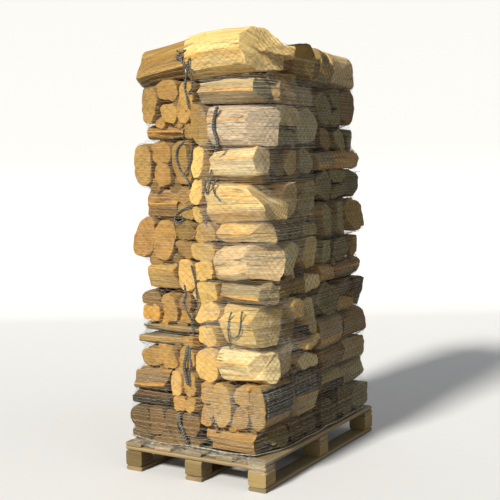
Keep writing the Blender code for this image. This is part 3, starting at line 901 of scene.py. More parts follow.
def fine_log(log, looks, rng, shape, wanted, fine):
    """The surface of one log, as a grid of rings from the pole of one end to the pole of the other.

    Point (ring, place) is the log's outline, shrunk towards its thinner end, turned by its
    twist, raised or lowered by its tilt and its bow, pushed out by its relief, and put along the
    log between its two askew ends. The end faces shrink that outline to the middle in a few
    steps. wanted is the way that its bark faces, or None.
    """
    direction, start, end, outline, tilt, thickness, askew, cell = log
    start, end = start - shape.ends[0], end + shape.ends[1]
    length = end - start
    cleft_end = any(shape.cut)
    cell = (cell[0] - shape.grown[0], cell[1] + shape.grown[1], cell[2], cell[3])
    count = looks.points_round if fine else looks.points_round // 2
    passes = looks.ease_passes if direction == "y" else 0
    low, high = np.array([cell[0], cell[2]]), np.array([cell[1], cell[3]])
    if shape.section:
        section = np.array(shape.section)
        outline = low + 0.002 + section * (high - low - 0.004)
        fullness = 0.0
    else:
        outline = np.array(outline)
        bottom, top = outline[:, 1].min(), outline[:, 1].max()
        settled = (bottom + looks.settle * (cell[2] - bottom), top + looks.settle * (cell[3] - top))
        outline[:, 1] = np.interp(outline[:, 1], (bottom, top), settled)
        fullness = looks.fullness * (1.0 if direction == "y" else 0.4)
        if direction == "y":
            low, high = low - looks.pressed, high + looks.pressed
    points, normal, places, walked = even_outline(outline, count, passes)
    points = filled(points, low, high, fullness)
    middle, base = outline[:, 0].mean(), outline[:, 1].min()
    centre = np.array([middle, outline[:, 1].mean()])

    rim = np.array(looks.rim_steps) / length
    inner = np.linspace(0.04, 0.96, looks.rings_along if fine else 3)
    part = np.concatenate([rim, inner, 1.0 - rim[::-1]])
    rings = len(part)
    relief = cleft_relief(rng, count, part, looks.fibre_relief)
    bark, swell, pith = bark_columns(outline, walked, places, wanted or (0.0, -1.0))
    if wanted is None:
        bark = bark & False
    rough = cleft_relief(rng, count, part, 0.5 * looks.bark_relief)
    rough += rng.normal(0.0, looks.bark_relief, (rings, count))
    relief = np.where(bark[None, :], rough + looks.bark_swell * swell, relief)
    relief = np.clip(relief, -looks.most_relief, looks.most_relief)
    relief -= wane(rng, count, part, looks.wane * (1.0 if direction == "x" else 0.6))
    wear = np.array(looks.rim_wear) * looks.end_wear * (0.6 if direction == "x" else 1.0)
    relief[:len(rim)] -= wear[:, None]
    relief[rings - len(rim):] -= wear[::-1, None]

    offset = points - centre
    most = ASKEW_REACH / length
    cuts = []
    for which in (0, 1):
        shift = (askew[which][0] * offset[:, 0] + askew[which][1] * offset[:, 1]) / length
        ragged = looks.end_chip * (2.2 if direction == "x" else 1.0)
        chip = smooth_waves(rng, np.arange(count) / count, 2.0, ragged, 5) / length
        inward = np.clip(shift, -most, most) + most + chip
        if which == 1 and cleft_end:
            unit = (points - low) / (high - low)
            slant = shape.cut[0] * np.clip(1.0 - unit[:, 0] / 0.7, -0.4, 1.0)
            slant = slant + shape.cut[1] * np.clip((unit[:, 1] - shape.cut_from) / 0.62, 0.0, 1.0)
            inward = inward - 0.5 * most + np.maximum(slant, -ASKEW_REACH / 2) / length
        cuts.append(inward if which == 0 else 1.0 - inward)
    reach = cuts[0] + (cuts[1] - cuts[0]) * part[:, None]
    scale = thickness[0] + (thickness[1] - thickness[0]) * reach
    across = (points[:, 0] - middle) * scale + normal[:, 0] * relief
    up = (points[:, 1] - base) * scale + normal[:, 1] * relief
    twist = rng.normal(0.0, looks.twist) * (reach - 0.5)
    half = (centre[1] - base) * scale
    turned_across = across * np.cos(twist) - (up - half) * np.sin(twist)
    turned_up = across * np.sin(twist) + (up - half) * np.cos(twist) + half
    bowed = np.sin(math.pi * np.clip(reach, 0.0, 1.0))
    turned_across += rng.normal(0.0, looks.bow) * bowed
    turned_up += (shape.bow + rng.normal(0.0, 0.5 * looks.bow)) * bowed
    turned_up += tilt * (end - start) * (reach - 0.5)
    sides = np.stack([start + length * reach, middle + turned_across, base + turned_up], -1)

    steps = (0.3, 0.62, 0.88) if fine else (0.5,)
    caps = []
    for rim_line in (sides[0], sides[-1]):
        pole = rim_line.mean(0)
        dip = rng.normal(0.0, 0.3 * looks.end_chip, (len(steps), count, 1)) * np.array([1.0, 0.0, 0.0])
        caps.append([pole + (rim_line - pole) * step + dip[i] for i, step in enumerate(steps)])
    grid = np.stack([*caps[0], *sides, *reversed(caps[1])])
    if direction == "y":
        grid = grid[..., [1, 0, 2]]
    lines = grid.shape[0]

    # Faces of sawn ends, bark and cleft wood, and the grain map
    cap = len(steps)
    far = lines - 1 - cap
    kind = np.zeros((lines - 1, count), int)
    kind[:cap] = 1
    kind[far:] = 0 if cleft_end else 1
    kind[cap:far][:, bark] = 2
    slanted = None
    if cleft_end:
        lean = 0.7 if shape.cut[1] > 0.5 * shape.cut[0] else 0.08
        slanted = np.array([[1.0, 0.0], [0.0, lean], [0.0, 1.0]])
    along = np.concatenate([np.zeros(cap), part * length, np.full(cap, length)])
    points, faces, uvs = capped_grid(
        grid, cap, along, np.append(places, walked[-1]), [1, 2] if direction == "x" else [0, 2],
        centre + looks.pith_reach * (pith - centre), direction == "y", slanted)

    # Marks: the ridges at the corners of the outline, the bark on a rim, and the ends
    corner_places = walked[:-1]
    apart = np.abs((places[:, None] - corner_places + walked[-1] / 2) % walked[-1] - walked[-1] / 2)
    chosen = rng.random(len(corner_places)) < 0.4 * shape.ridge
    chosen[0] = rng.random() < shape.ridge
    ridge = (np.clip(1.0 - apart / looks.ridge_width, 0.0, 1.0) * chosen).max(1)
    marks = np.zeros((lines * count + 2, 4))
    ridges = np.zeros((lines, count))
    ridges[cap:lines - cap] = ridge
    marks[:lines * count, 0] = ridges.ravel()
    rim_bark = np.zeros((lines, count))
    rim_bark[cap:lines - cap] = bark
    marks[:lines * count, 1] = rim_bark.ravel()
    ended = np.ones((lines, count))
    ended[cap + 1:lines - cap - 1] = 0.0
    if cleft_end:
        ended[far:] = 0.0
    marks[:lines * count, 2] = ended.ravel()
    marks[lines * count:, 2] = (1.0, 0.0 if cleft_end else 1.0)

    kinds = [kind.ravel(), np.repeat([1, 0 if cleft_end else 1], count)]
    return points, faces, uvs, kinds, marks


def wedge_between(draw, log, low, high):
    """A thin wedge of wood between logs, at the upper or lower far corner of a log's cell."""
    direction, start, end, _, _, _, _, cell = log
    size = 0.5 * draw.uniform(0.44, 0.66) * min(cell[1] - cell[0], cell[3] - cell[2], 0.11)
    across = (cell[1] - size, cell[1] + size)
    outline = log_section(draw, across, max(low, high - size), high + size)
    near, far = draw.uniform(0.010, 0.034), draw.uniform(0.010, 0.034)
    askew = [(draw.uniform(-0.2, 0.2), draw.uniform(-0.2, 0.2)) for _ in range(2)]
    return (direction, start + near - ASKEW_REACH / 2, end - far, outline, 0.0, (1.0, 0.9), askew,
            (*across, min(z for _, z in outline), max(z for _, z in outline)))


def offcuts(draw, log, corner, width, beside, high):
    """Short pieces that lie across one end of a front log, with their ends on the front."""
    cell = log[-1]
    across = (FRONT_SEAM_X - 0.010, FRONT_SEAM_X + width)
    if corner == "front_left":
        across = (FRONT_SEAM_X - width, FRONT_SEAM_X - 0.004)
    return [split_log(draw, "y", (cell[0] - 0.012, cell[1]), part, low, top, 0.0)
            for part in shares(draw, beside, *across) for low, top in shares(draw, high, cell[2], cell[3])]


def is_exposed(log, layer, corner, box):
    """True if a log shows on the outside of the stack."""
    direction, start, end, outline, *_ = log
    across = [a for a, _ in outline]
    spans = ((start, end), (min(across), max(across)))
    (x0, x1), (y0, y1) = spans if direction == "x" else spans[::-1]
    near = 0.045
    left = x0 - box[0][0] < near if "left" in corner else box[0][1] - x1 < near
    ahead = y0 - box[1][0] < near if "front" in corner else box[1][1] - y1 < near
    return left or ahead or layer == len(FRONT_LEFT)


def bag_contents(bag, looks):
    """Everything in a bag as (log, shape, the way its bark faces or None, how fine, its finish)."""
    name, layer, corner, box, logs = bag
    rng = np.random.default_rng(SEED * 1000 + layer * 10 + CORNERS.index(corner))
    draw = random.Random(name)
    contents = []
    number, last = 0, None
    for course, log in logs:
        number = number + 1 if course == last else 0
        last = course
        shape = SHAPES.get((layer, corner, course, number), Shape())
        names, weights = zip(*USUAL[corner])
        finish = rng.choice(names, p=np.array(weights) / sum(weights))
        if (layer, corner, course) in COURSE_FINISH and rng.random() < 0.8:
            finish = COURSE_FINISH[layer, corner, course]
        finish = shape.finish or finish
        barked = (layer, corner, course) in BARKED or rng.random() < looks.bark_share
        ways = {"x": (-0.5 if "front" in corner else 0.5, -0.9), "y": (rng.normal(), rng.normal())}
        wanted = shape.bark or (ways[log[0]] if barked and not shape.section else None)
        seam = looks.creep * np.array((1.0, 0.0) if "right" in corner else (0.0, 1.0))
        if log[0] == "y":
            seam = looks.creep * np.array((0.0, 1.0) if "front" in corner else (1.0, 0.0))
        ends = (shape.ends[0] + seam[0], shape.ends[1] + seam[1])
        if number == 0 and (layer, corner, course) in OFFCUTS:
            width, beside, high = OFFCUTS[layer, corner, course]
            for piece in offcuts(draw, log, corner, width, beside, high):
                contents.append((piece, Shape(), None, True, rng.choice(("honey", "straw", "honey"))))
            if corner == "front_right":
                ends = (log[1] - FRONT_SEAM_X - width + 0.004, ends[1])
            else:
                ends = (ends[0], FRONT_SEAM_X - width - 0.003 - log[2])
        shape = shape._replace(ends=ends)
        contents.append((log, shape, wanted, is_exposed(log, layer, corner, box), finish))
        across = box[1] if log[0] == "x" else box[0]
        if log[-1][1] < across[1] - 2 * SET_BACK:
            for low, high in ((log[-1][2], log[-1][3]), (log[-1][2] - 1.0, log[-1][2])):
                wedge = wedge_between(draw, log, max(low, DECK_TOP + 0.002), high)
                if high < box_top(logs) - 0.02 and high > DECK_TOP + 0.03:
                    contents.append((wedge, Shape(), None, False, rng.choice(("brown", finish))))
    return contents, rng


def box_top(logs):
    """The top of the highest cell of a bag."""
    return max(log[-1][3] for _, log in logs)


def build_bag_piece(bag, materials, looks):
    """All the logs of one bag, as one piece."""
    name, layer, corner = bag[:3]
    contents, rng = bag_contents(bag, looks)
    parts, uvs, kinds, marks, colours = [], [], [], [], []
    for log, shape, wanted, fine, finish in contents:
        points, faces, uv, kind, mark = fine_log(log, looks, rng, shape, wanted, fine)
        points[:, 0] = np.clip(points[:, 0], *SIDES)
        base = np.array(getattr(looks, finish))
        # Painted shade: x logs on the right that the sun doesn't reach get a wider and on the whole darker random
        # brightness, and their sawn ends take the darker end tint
        shaded = log[0] == "x" and "right" in corner and not shape.lit
        base = base * rng.uniform(*((0.48, 1.30) if shaded else (0.86, 1.18))) * rng.uniform(0.95, 1.05, 3)
        beside = np.ptp([RIGHT_SEAM_Y, (log[-1][0] + log[-1][1]) / 2]) if log[0] == "x" else 1.0
        base = base * BAG_SHADE.get((layer, corner), 1.0)
        # Painted shade: on the right, logs near the seam between the front and rear bags are darkened, for the shade
        # in that gap
        if "right" in corner and beside < looks.seam_reach and not shape.lit:
            base = base * looks.seam_painted_shade
        ended = mark[:, 2:3]
        # Sawn ends: painted shade on logs that the sun doesn't reach, times the painted light and shade of their bag
        end = np.array(looks.painted_shade_end if shaded else looks.lit_end) * END_PAINTED_LIGHT.get((layer, corner), 1.0)
        tinted = base * (1.0 - ended) + base * end * ended
        parts.append((points, faces))
        uvs.append(uv)
        kinds.append(kind)
        marks.append(mark)
        colours.append(np.column_stack([np.clip(tinted, 0, 1), np.full(len(points), rng.random())]))
    points, faces = joined(parts)
    corner_uv = np.concatenate([group.reshape(-1, 2) for uv in uvs for group in uv])
    kind = np.concatenate([group for pair in kinds for group in pair])
    piece = make_piece(name + "_logs", points, faces, materials, corner_uv, kind,
                       smooth=looks.smooth_angle)
    colour_points(piece, "log_colour", np.concatenate(colours))
    colour_points(piece, "log_marks", np.concatenate(marks))
    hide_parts(name)
    return piece


def build_splinters(looks, material):
    """Slivers that stand off the logs on the outside, most of them near the ends.

    A sliver starts at a point of a log's surface and runs along the log, lifted off it by a
    small angle. It is a row of triangles, width * (1 - the way along)^0.7 across, to a point.
    """
    rng = np.random.default_rng(SEED)
    paths, outs, widths, colours = [], [], [], []
    for name, layer, corner, box, logs in stack_bags():
        for _, log in logs:
            direction, start, end, outline, *_ = log
            if not is_exposed(log, layer, corner, box):
                continue
            ring = np.array(outline)
            middle = ring.mean(0)
            for _ in range(rng.poisson(looks.splinters)):
                side = rng.integers(len(ring))
                part = rng.random()
                spot = ring[side] * (1 - part) + ring[(side + 1) % len(ring)] * part
                away = (spot - middle) / np.linalg.norm(spot - middle)
                near_end = rng.random() < 0.7
                place = rng.uniform(0.0, 0.16) if near_end else rng.uniform(0.2, 0.8)
                way = 1.0 if rng.random() < 0.5 else -1.0
                along = end - place * (end - start) if way > 0 else start + place * (end - start)
                length = rng.uniform(0.3, 1.0) * looks.splinter_length
                steps = np.linspace(0.0, 1.0, 5)
                lift = rng.uniform(0.02, 0.22)
                run = along + way * length * steps * 0.9
                cross = spot[None] + away[None] * (length * lift * steps ** 1.4 - 0.004)[:, None]
                path = np.stack([run, cross[:, 0], cross[:, 1]], 1)
                out = np.array([0.0, away[0], away[1]])
                if direction == "y":
                    path, out = path[:, [1, 0, 2]], out[[1, 0, 2]]
                paths.append(path)
                outs.append(out)
                widths.append(rng.uniform(0.5, 1.0) * looks.splinter_width * (1.02 - steps) ** 0.7)
                tone = np.array(getattr(looks, rng.choice(("straw", "honey", "orange", "cream"))))
                colours.append(np.tile([*tone * rng.uniform(0.7, 1.1), rng.random()], (15, 1)))
    paths, outs = np.array(paths), np.array(outs)
    paths[..., :2] = np.clip(paths[..., :2], (-0.405, -0.606), (0.420, 0.590))
    section = np.array([[1.0, 0.5, 0.5]])
    points, faces = tubes(paths, outs[:, None], np.array(widths), 3, False, np.repeat(section, 5, 0))
    corners = sum(part.size for part in faces)
    uv = np.zeros((corners, 2))
    order = np.concatenate([part.ravel() for part in faces])
    uv[:, 0] = (order // 3 % 5) * 0.01
    uv[:, 1] = (order % 3) * 0.002
    piece = make_piece("splinters", points, faces, [material], uv, smooth=30.0)
    colour_points(piece, "log_colour", np.concatenate(colours))
    colour_points(piece, "log_marks", np.zeros((len(points), 4)))


# Envelopes, on which nets and the wrap lie


def piece_points(name):
    """The points of a piece as an array."""
    mesh = bpy.data.objects[name].data
    found = np.empty(len(mesh.vertices) * 3)
    mesh.vertices.foreach_get("co", found)
    return found.reshape(-1, 3)


class Envelope:
    """The tightest convex outline round some points, at each height.

    For each direction and height it keeps how far the points reach that way. A ray from the
    centre leaves the outline where it first meets one of the tangent lines, at the least
    reach / cos(angle between them).
    """

    def __init__(self, points, centre, step, window, directions=96):
        self.centre = np.array(centre)
        self.low = points[:, 2].min()
        self.step = step
        self.angles = math.tau * np.arange(directions) / directions
        outward = np.stack([np.cos(self.angles), np.sin(self.angles)])
        reach = (points[:, :2] - self.centre) @ outward
        count = int((points[:, 2].max() - self.low) / step) + 1
        bins = np.clip(((points[:, 2] - self.low) / step).astype(int), 0, count - 1)
        table = np.full((count, directions), -1.0)
        order = np.argsort(bins, kind="stable")
        starts = np.searchsorted(bins[order], np.arange(count))
        ends = np.append(starts[1:], len(bins))
        for row, (a, b) in enumerate(zip(starts, ends)):
            if b > a:
                table[row] = reach[order[a:b]].max(0)
        spread = max(1, int(window / step))
        padded = np.pad(table, ((spread, spread), (0, 0)), mode="edge")
        slid = np.lib.stride_tricks.sliding_window_view(padded, 2 * spread + 1, axis=0)
        highest = slid.max(-1)
        padded = np.pad(highest, ((spread, spread), (0, 0)), mode="edge")
        bearing = np.arctan2(*(points[:, :2] - self.centre).T[::-1]) % math.tau
        outer = np.linalg.norm(points[:, :2] - self.centre, axis=1)
        sector = np.minimum((bearing / math.tau * directions).astype(int), directions - 1)
        self.tops = np.full(directions, points[:, 2].max())
        for number in range(directions):
            inside = sector == number
            if inside.any():
                edge = outer[inside] > 0.72 * outer[inside].max()
                self.tops[number] = points[inside][edge, 2].max()
        near = np.stack([np.roll(self.tops, shift) for shift in range(-directions // 24, directions // 24 + 1)])
        self.tops = near.mean(0)
        eased = np.lib.stride_tricks.sliding_window_view(padded, 2 * spread + 1, axis=0).mean(-1)
        self.table = np.maximum(eased, 0.4 * eased.max(0))

    def radius(self, angle, z):
        """How far from the centre the outline lies at an angle and height, as arrays."""
        row = np.clip((z - self.low) / self.step - 0.5, 0, len(self.table) - 1.001)
        low = row.astype(int)
        part = (row - low)[..., None]
        reach = self.table[low] * (1 - part) + self.table[low + 1] * part
        facing = np.cos(angle[..., None] - self.angles)
        return np.where(facing > 0.02, reach / np.maximum(facing, 0.02), 1e9).min(-1)

    def ceiling(self, angle):
        """How high the points reach near the outline, at an angle."""
        place = (angle % math.tau) / math.tau * len(self.tops) - 0.5
        return np.interp(place, np.arange(len(self.tops)), self.tops, period=len(self.tops))

    def at(self, angle, z, stand_off):
        """Points on the outline, pushed out by stand_off."""
        radius = self.radius(angle, z) + stand_off
        return np.stack([self.centre[0] + radius * np.cos(angle), self.centre[1] + radius * np.sin(angle), z], -1)


def box_angles(box, centre, count, corners):
    """The angles, seen from the centre, of points evenly spaced along a path of box corners."""
    path = np.array([(box[0][a], box[1][b]) for a, b in corners])
    walked = measured(path)
    places = np.linspace(0.0, walked[-1], count)
    x = np.interp(places, walked, path[:, 0]) - centre[0]
    y = np.interp(places, walked, path[:, 1]) - centre[1]
    return np.unwrap(np.arctan2(y, x))


# Pallet


def rounded_rectangle(width, height, radius):
    """The corners of a rectangle whose own corners are cut to quarter rounds of three points."""
    corners = []
    for cx, cy, turn in ((1, 1, 0), (-1, 1, 1), (-1, -1, 2), (1, -1, 3)):
        for angle in (0.0, 0.5, 1.0):
            a = (turn + angle) * math.pi / 2
            corners.append((cx * (width / 2 - radius) + radius * math.cos(a),
                            cy * (height / 2 - radius) + radius * math.sin(a)))
    return corners


def fine_timber(node, looks, rng):
    """A sawn board or block, as a grid of rings along its grain.

    Its section is a rectangle with rounded edges. Point (ring, place) is that section, with the waves of a rough
    saw, and with chips bitten out of its edges.
    """
    low, high = (np.array(corner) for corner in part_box(node))
    size = high - low
    centre = (low + high) / 2
    grain = int(np.argmax(size[:2])) if size.max() > 0.2 else int(node.endswith(("left", "right")))
    wide = 1 - grain
    length, width, height = size[grain], size[wide], size[2]
    outline = rounded_rectangle(width, height, looks.edge_round)
    points, normal, places, walked = even_outline(outline, looks.points_round, 1)
    rings = looks.rings_along if length > 0.2 else looks.rings_along // 2
    part = np.concatenate([[0.0, 0.006], np.linspace(0.02, 0.98, rings - 4), [0.994, 1.0]])
    waves = smooth_waves(rng, part, length / 0.35, looks.saw_wave)
    relief = np.repeat(waves[:, None], len(places), 1)
    corner_places = np.array([walked[1 + 3 * i] for i in range(4)])
    near = np.abs((places[:, None] - corner_places[None] + walked[-1] / 2) % walked[-1] - walked[-1] / 2)
    edge = np.clip(1.0 - near.min(1) / (2.4 * looks.edge_round), 0.0, 1.0)
    chips = np.clip(rng.normal(-0.6, 1.0, (rings, len(places))), 0.0, 2.5) * looks.edge_chip
    relief = relief - edge[None] * chips
    relief[[0, -1]] -= looks.end_round
    section = points[None] + normal[None] * relief[..., None]
    ragged = rng.normal(0.0, looks.end_ragged, (rings, len(places))) * (np.abs(part - 0.5) > 0.49)[:, None]
    along = (part[:, None] - 0.5) * (length - 3 * looks.end_ragged) + ragged
    sides = np.zeros((rings, len(places), 3))
    sides[..., grain] = centre[grain] + along
    sides[..., wide] = centre[wide] + section[..., 0]
    sides[..., 2] = centre[2] + section[..., 1]
    steps = (0.35, 0.75, 0.95)
    caps = [[rim.mean(0) + (rim - rim.mean(0)) * step for step in steps] for rim in (sides[0], sides[-1])]
    grid = np.stack([*caps[0], *sides, *reversed(caps[1])])
    lines, count = grid.shape[:2]
    cap = len(steps)

    pith = np.array([centre[wide] + rng.uniform(-0.05, 0.05), centre[2] - rng.uniform(0.02, 0.07)])
    along = np.concatenate([np.zeros(cap), part * length, np.full(cap, length)])
    points, faces, uvs = capped_grid(grid, cap, along, np.append(places, walked[-1]), [wide, 2], pith, grain == 1)
    marks = np.zeros((lines * count + 2, 4))
    worn = np.zeros((lines, count))
    worn[cap:lines - cap] = edge * (rng.random(count) < 0.7)
    marks[:lines * count, 0] = worn.ravel()
    ended = np.zeros((lines, count))
    ended[:cap + 1] = 1.0
    ended[lines - cap - 1:] = 1.0
    marks[:lines * count, 1] = ended.ravel()
    marks[lines * count:, 1] = 1.0
    return points, faces, uvs, marks


# Properties


def entry(kind, **fixed):
    """A maker of properties of one kind, each from its description, default and name."""
    def describe(description, default, **more):
        return lambda name: kind(name=name, description=description, default=default, **fixed, **more)
    return describe


a_length = entry(FloatProperty, unit="LENGTH", precision=5)
a_colour = entry(FloatVectorProperty, subtype="COLOR", min=0.0, max=1.0)
a_share = entry(FloatProperty, subtype="FACTOR")
an_angle = entry(FloatProperty, subtype="ANGLE")
a_number = entry(FloatProperty)
a_count = entry(IntProperty)
numbers = entry(FloatVectorProperty)


def named(group):
    """Names every property of a group after its identifier."""
    for key, make in group.__annotations__.items():
        group.__annotations__[key] = make(key.replace("_", " ").capitalize())
    return group


@named
class LogLooks(bpy.types.PropertyGroup):
    """Sizes and colours of the split logs."""
    points_round: a_count("Points round a log", 42)
    rings_along: a_count("Rings between a log's rims", 7)
    ease_passes: a_count("How often a corner is rounded off", 1)
    rim_steps: numbers("Where the rings of a rim lie, from the end",
                       (0.0, 0.0015, 0.004, 0.010), size=4, unit="LENGTH", precision=5)
    rim_wear: numbers("How far each ring of a rim is worn in, from full wear (1) to none (0)",
                      (1.0, 0.55, 0.22, 0.05), size=4)
    smooth_angle: a_number("Edges above it stay sharp, in degrees", 24.0)
    settle: a_share("How far logs have settled to fill their cells", 0.62)
    fullness: a_share("How far outlines swell to fill their cells", 0.80)
    pressed: a_length("How far logs seen end on press into each other", 0.0055)
    creep: a_length("How far logs reach across the seams between bags", 0.010)
    twist: an_angle("Usual twist from end to end", math.radians(7.0))
    bow: a_length("Usual bow of a log", 0.0035)
    wane: a_length("How much may be missing from one side of a log's end", 0.018)
    fibre_relief: a_length("Depth of the fibres on a cleft face", 0.0013)
    bark_relief: a_length("Depth of the bark's roughness", 0.0012)
    bark_swell: a_length("How far bark bulges out", 0.004)
    most_relief: a_length("Relief never goes past this", 0.011)
    end_wear: a_length("How far a log's sawn rim is worn in", 0.0026)
    end_chip: a_length("Unevenness of a sawn end", 0.0012)
    ridge_width: a_length("Width of the fresh orange along an edge", 0.022)
    pith_reach: a_number("Where the rings' centre lies, from the middle of a log (0) to its inner corner (1)",
                         0.9)
    splinters: a_number("Usual number of slivers on a log", 1.6)
    splinter_length: a_length("The longest sliver", 0.070)
    splinter_width: a_length("The widest sliver, half across", 0.0028)
    # Painted shade beside the seam on the right side
    seam_reach: a_length("How far from the seam on the right logs are dark", 0.055)
    seam_painted_shade: a_share("How dark they are", 0.45)
    bark_share: a_share("Part of the logs that keep their bark", 0.20)
    honey: a_colour("The usual split wood", (0.50, 0.335, 0.105))
    straw: a_colour("Paler split wood", (0.78, 0.580, 0.220))
    cream: a_colour("Split wood bleached by the sun", (0.86, 0.710, 0.400))
    # Painted light: a brighter copy of the split wood, for logs whose faces take the sun
    sunlit: a_colour("Split wood in full sun", (0.90, 0.715, 0.310))
    orange: a_colour("Freshly split wood", (0.56, 0.325, 0.070))
    amber: a_colour("Wood darkened by resin", (0.40, 0.255, 0.065))
    brown: a_colour("Stained wood", (0.27, 0.180, 0.070))
    # Painted shade: this darker, greyer wood colours the bags on the shaded right side, standing in for the shade
    # there
    olive: a_colour("Damp wood on the shaded side", (0.36, 0.300, 0.140))
    pale: a_colour("Wood bleached almost white", (0.84, 0.785, 0.600))
    umber: a_colour("Wood blackened by damp", (0.150, 0.100, 0.048))
    grey: a_colour("Weathered wood", (0.36, 0.310, 0.180))
    bark: a_colour("Bark", (0.070, 0.050, 0.030))
    lit_end: numbers("What the sawn ends on the sunny sides do to a log's colour", (0.98, 0.92, 0.82))
    # Painted shade: a darker, greyer tint for the sawn ends that lie in shade on the right, standing in for the
    # shade there
    painted_shade_end: numbers("What damp does to the sawn ends on the right", (0.72, 0.76, 0.74))
    fresh_orange: a_colour("Fresh wood along the edges", (0.86, 0.42, 0.045))
    weathered_grey: a_colour("Dust and weathering", (0.36, 0.29, 0.17))


@named
class NetLooks(bpy.types.PropertyGroup):
    """Sizes and colour of the nets."""
    mesh_width: a_length("Height of a row of the net", 0.020)
    thread: a_length("Radius of a thread", 0.00044)
    doubled: a_number("How much thicker the threads look on the right, where the nets lie double", 1.7)
    steps: a_count("Steps across the sides that show", 44)
    stand_off: a_length("How far the net stands off the logs", 0.0008)
    colour: a_colour("The net's colour", (0.050, 0.045, 0.032))


@named
class CordLooks(bpy.types.PropertyGroup):
    """Sizes and colours of the draw cords."""
    thin: a_length("Radius of a single draw cord", 0.0042)
    thick: a_length("Radius of a gathered mouth", 0.0078)
    twist: a_length("Length of one turn of the yarns", 0.026)
    dark_yarn: a_colour("The cord's dark yarns", (0.030, 0.036, 0.040))
    pale_yarn: a_colour("The cord's pale yarns", (0.27, 0.28, 0.265))


@named
class WrapLooks(bpy.types.PropertyGroup):
    """Sizes and colours of the knitted wrap and its hem."""
    pitch: a_length("Usual distance between the wrap's rows", 0.0155)
    chain: a_length("Radius of the chain stitches", 0.00042)
    link: a_length("Radius of the zigzag stitches", 0.00030)
    stand_off: a_length("How far the wrap stands off what it holds", 0.0022)
    wander: a_length("How far a row rises and falls", 0.0035)
    steps: a_count("Steps round the stack", 120)
    foot: a_length("Height of the lowest row", 0.168)
    head: a_length("Height of the highest row", 2.055)
    level_to: a_length("Rows above this dip with the top of the stack", 1.74)
    below_top: a_length("How far the last row stays under the top", 0.035)
    colour: a_colour("The wrap's colour", (0.78, 0.77, 0.70))
    close_pitch: a_length("Distance between the second layer's rows", 0.0075)
    close_from: an_angle("Where the second layer starts, from the front left corner", math.radians(40.0))
    close_to: an_angle("Where the second layer stops", math.radians(118.0))
    close_foot: a_length("Lowest row of the second layer", 0.30)
    close_head: a_length("Highest row of the second layer", 1.92)
    film_thin: a_share("Cover of the thin parts of the film", 0.03)
    film_thick: a_share("Cover of its folds", 0.46)
    hem: a_length("Radius of the roped hem", 0.0030)
    hem_colour: a_colour("The hem's dusty colour", (0.46, 0.43, 0.35))
    hem_height: a_length("Height of the roped hem on the front", 0.158)


@named
class PalletLooks(bpy.types.PropertyGroup):
    """Sizes and colours of the pallet."""
    points_round: a_count("Points round a board", 32)
    rings_along: a_count("Rings along a board", 24)
    edge_round: a_length("Radius of the worn edges", 0.0035)
    edge_chip: a_length("Depth of the chips along the edges", 0.0012)
    end_round: a_length("How far the ends are worn in", 0.0008)
    end_ragged: a_length("Unevenness of the sawn ends", 0.0004)
    saw_wave: a_length("Waves left by the saw", 0.00025)
    nail: a_length("Radius of a nail's head", 0.0042)
    board: a_colour("Board wood", (0.36, 0.275, 0.150))
    block: a_colour("Block wood", (0.49, 0.355, 0.145))
    grey: a_colour("Weathered board", (0.20, 0.180, 0.120))
    steel: a_colour("Rusted nails", (0.16, 0.11, 0.08))


@named
class StageLooks(bpy.types.PropertyGroup):
    """The camera, which stands where the photographer stood, and the lights."""
    azimuth: an_angle("Camera's turn round the pallet", math.radians(30.64))
    distance: a_length("Camera's distance from the origin's axis", 5.293)
    aside: a_length("Camera's shift to its right", -0.015)
    height: a_length("Camera's height", 1.566)
    pitch: an_angle("Camera's tilt down", math.radians(5.5))
    roll: an_angle("Camera's roll", math.radians(-1.0))
    lens: a_number("Focal length in millimetres on a 36 mm sensor", 73.8)
    key: a_number("Strength of the key light", 4.6)
    fill: a_number("Strength of the surrounding light", 0.20)
    backdrop: a_number("Brightness of what lies past the floor", 0.85)
    side: a_number("Strength of the soft light from the right", 0.34)
    floor: a_colour("Floor and backdrop", (0.74, 0.765, 0.83))
    bounce: a_share("Part of the floor's light that reaches the object", 0.45)


# Operators


class FIREWOOD_OT_bags(bpy.types.Operator):
    """Make the split logs of every bag"""
    bl_idname = "firewood.bags"
    bl_label = "Bags of split logs"

    def execute(self, context):
        looks = context.scene.firewood_logs
        groups = {"fibre": wood_fibre_group(), "rings": growth_ring_group(), "weather": weather_group(),
                  "bark": bark_group()}
        materials = [split_face_material(groups, looks), sawn_end_material(groups, looks),
                     bark_material(groups, looks)]
        for bag in stack_bags():
            build_bag_piece(bag, materials, looks)
        build_splinters(looks, materials[0])
        return {"FINISHED"}


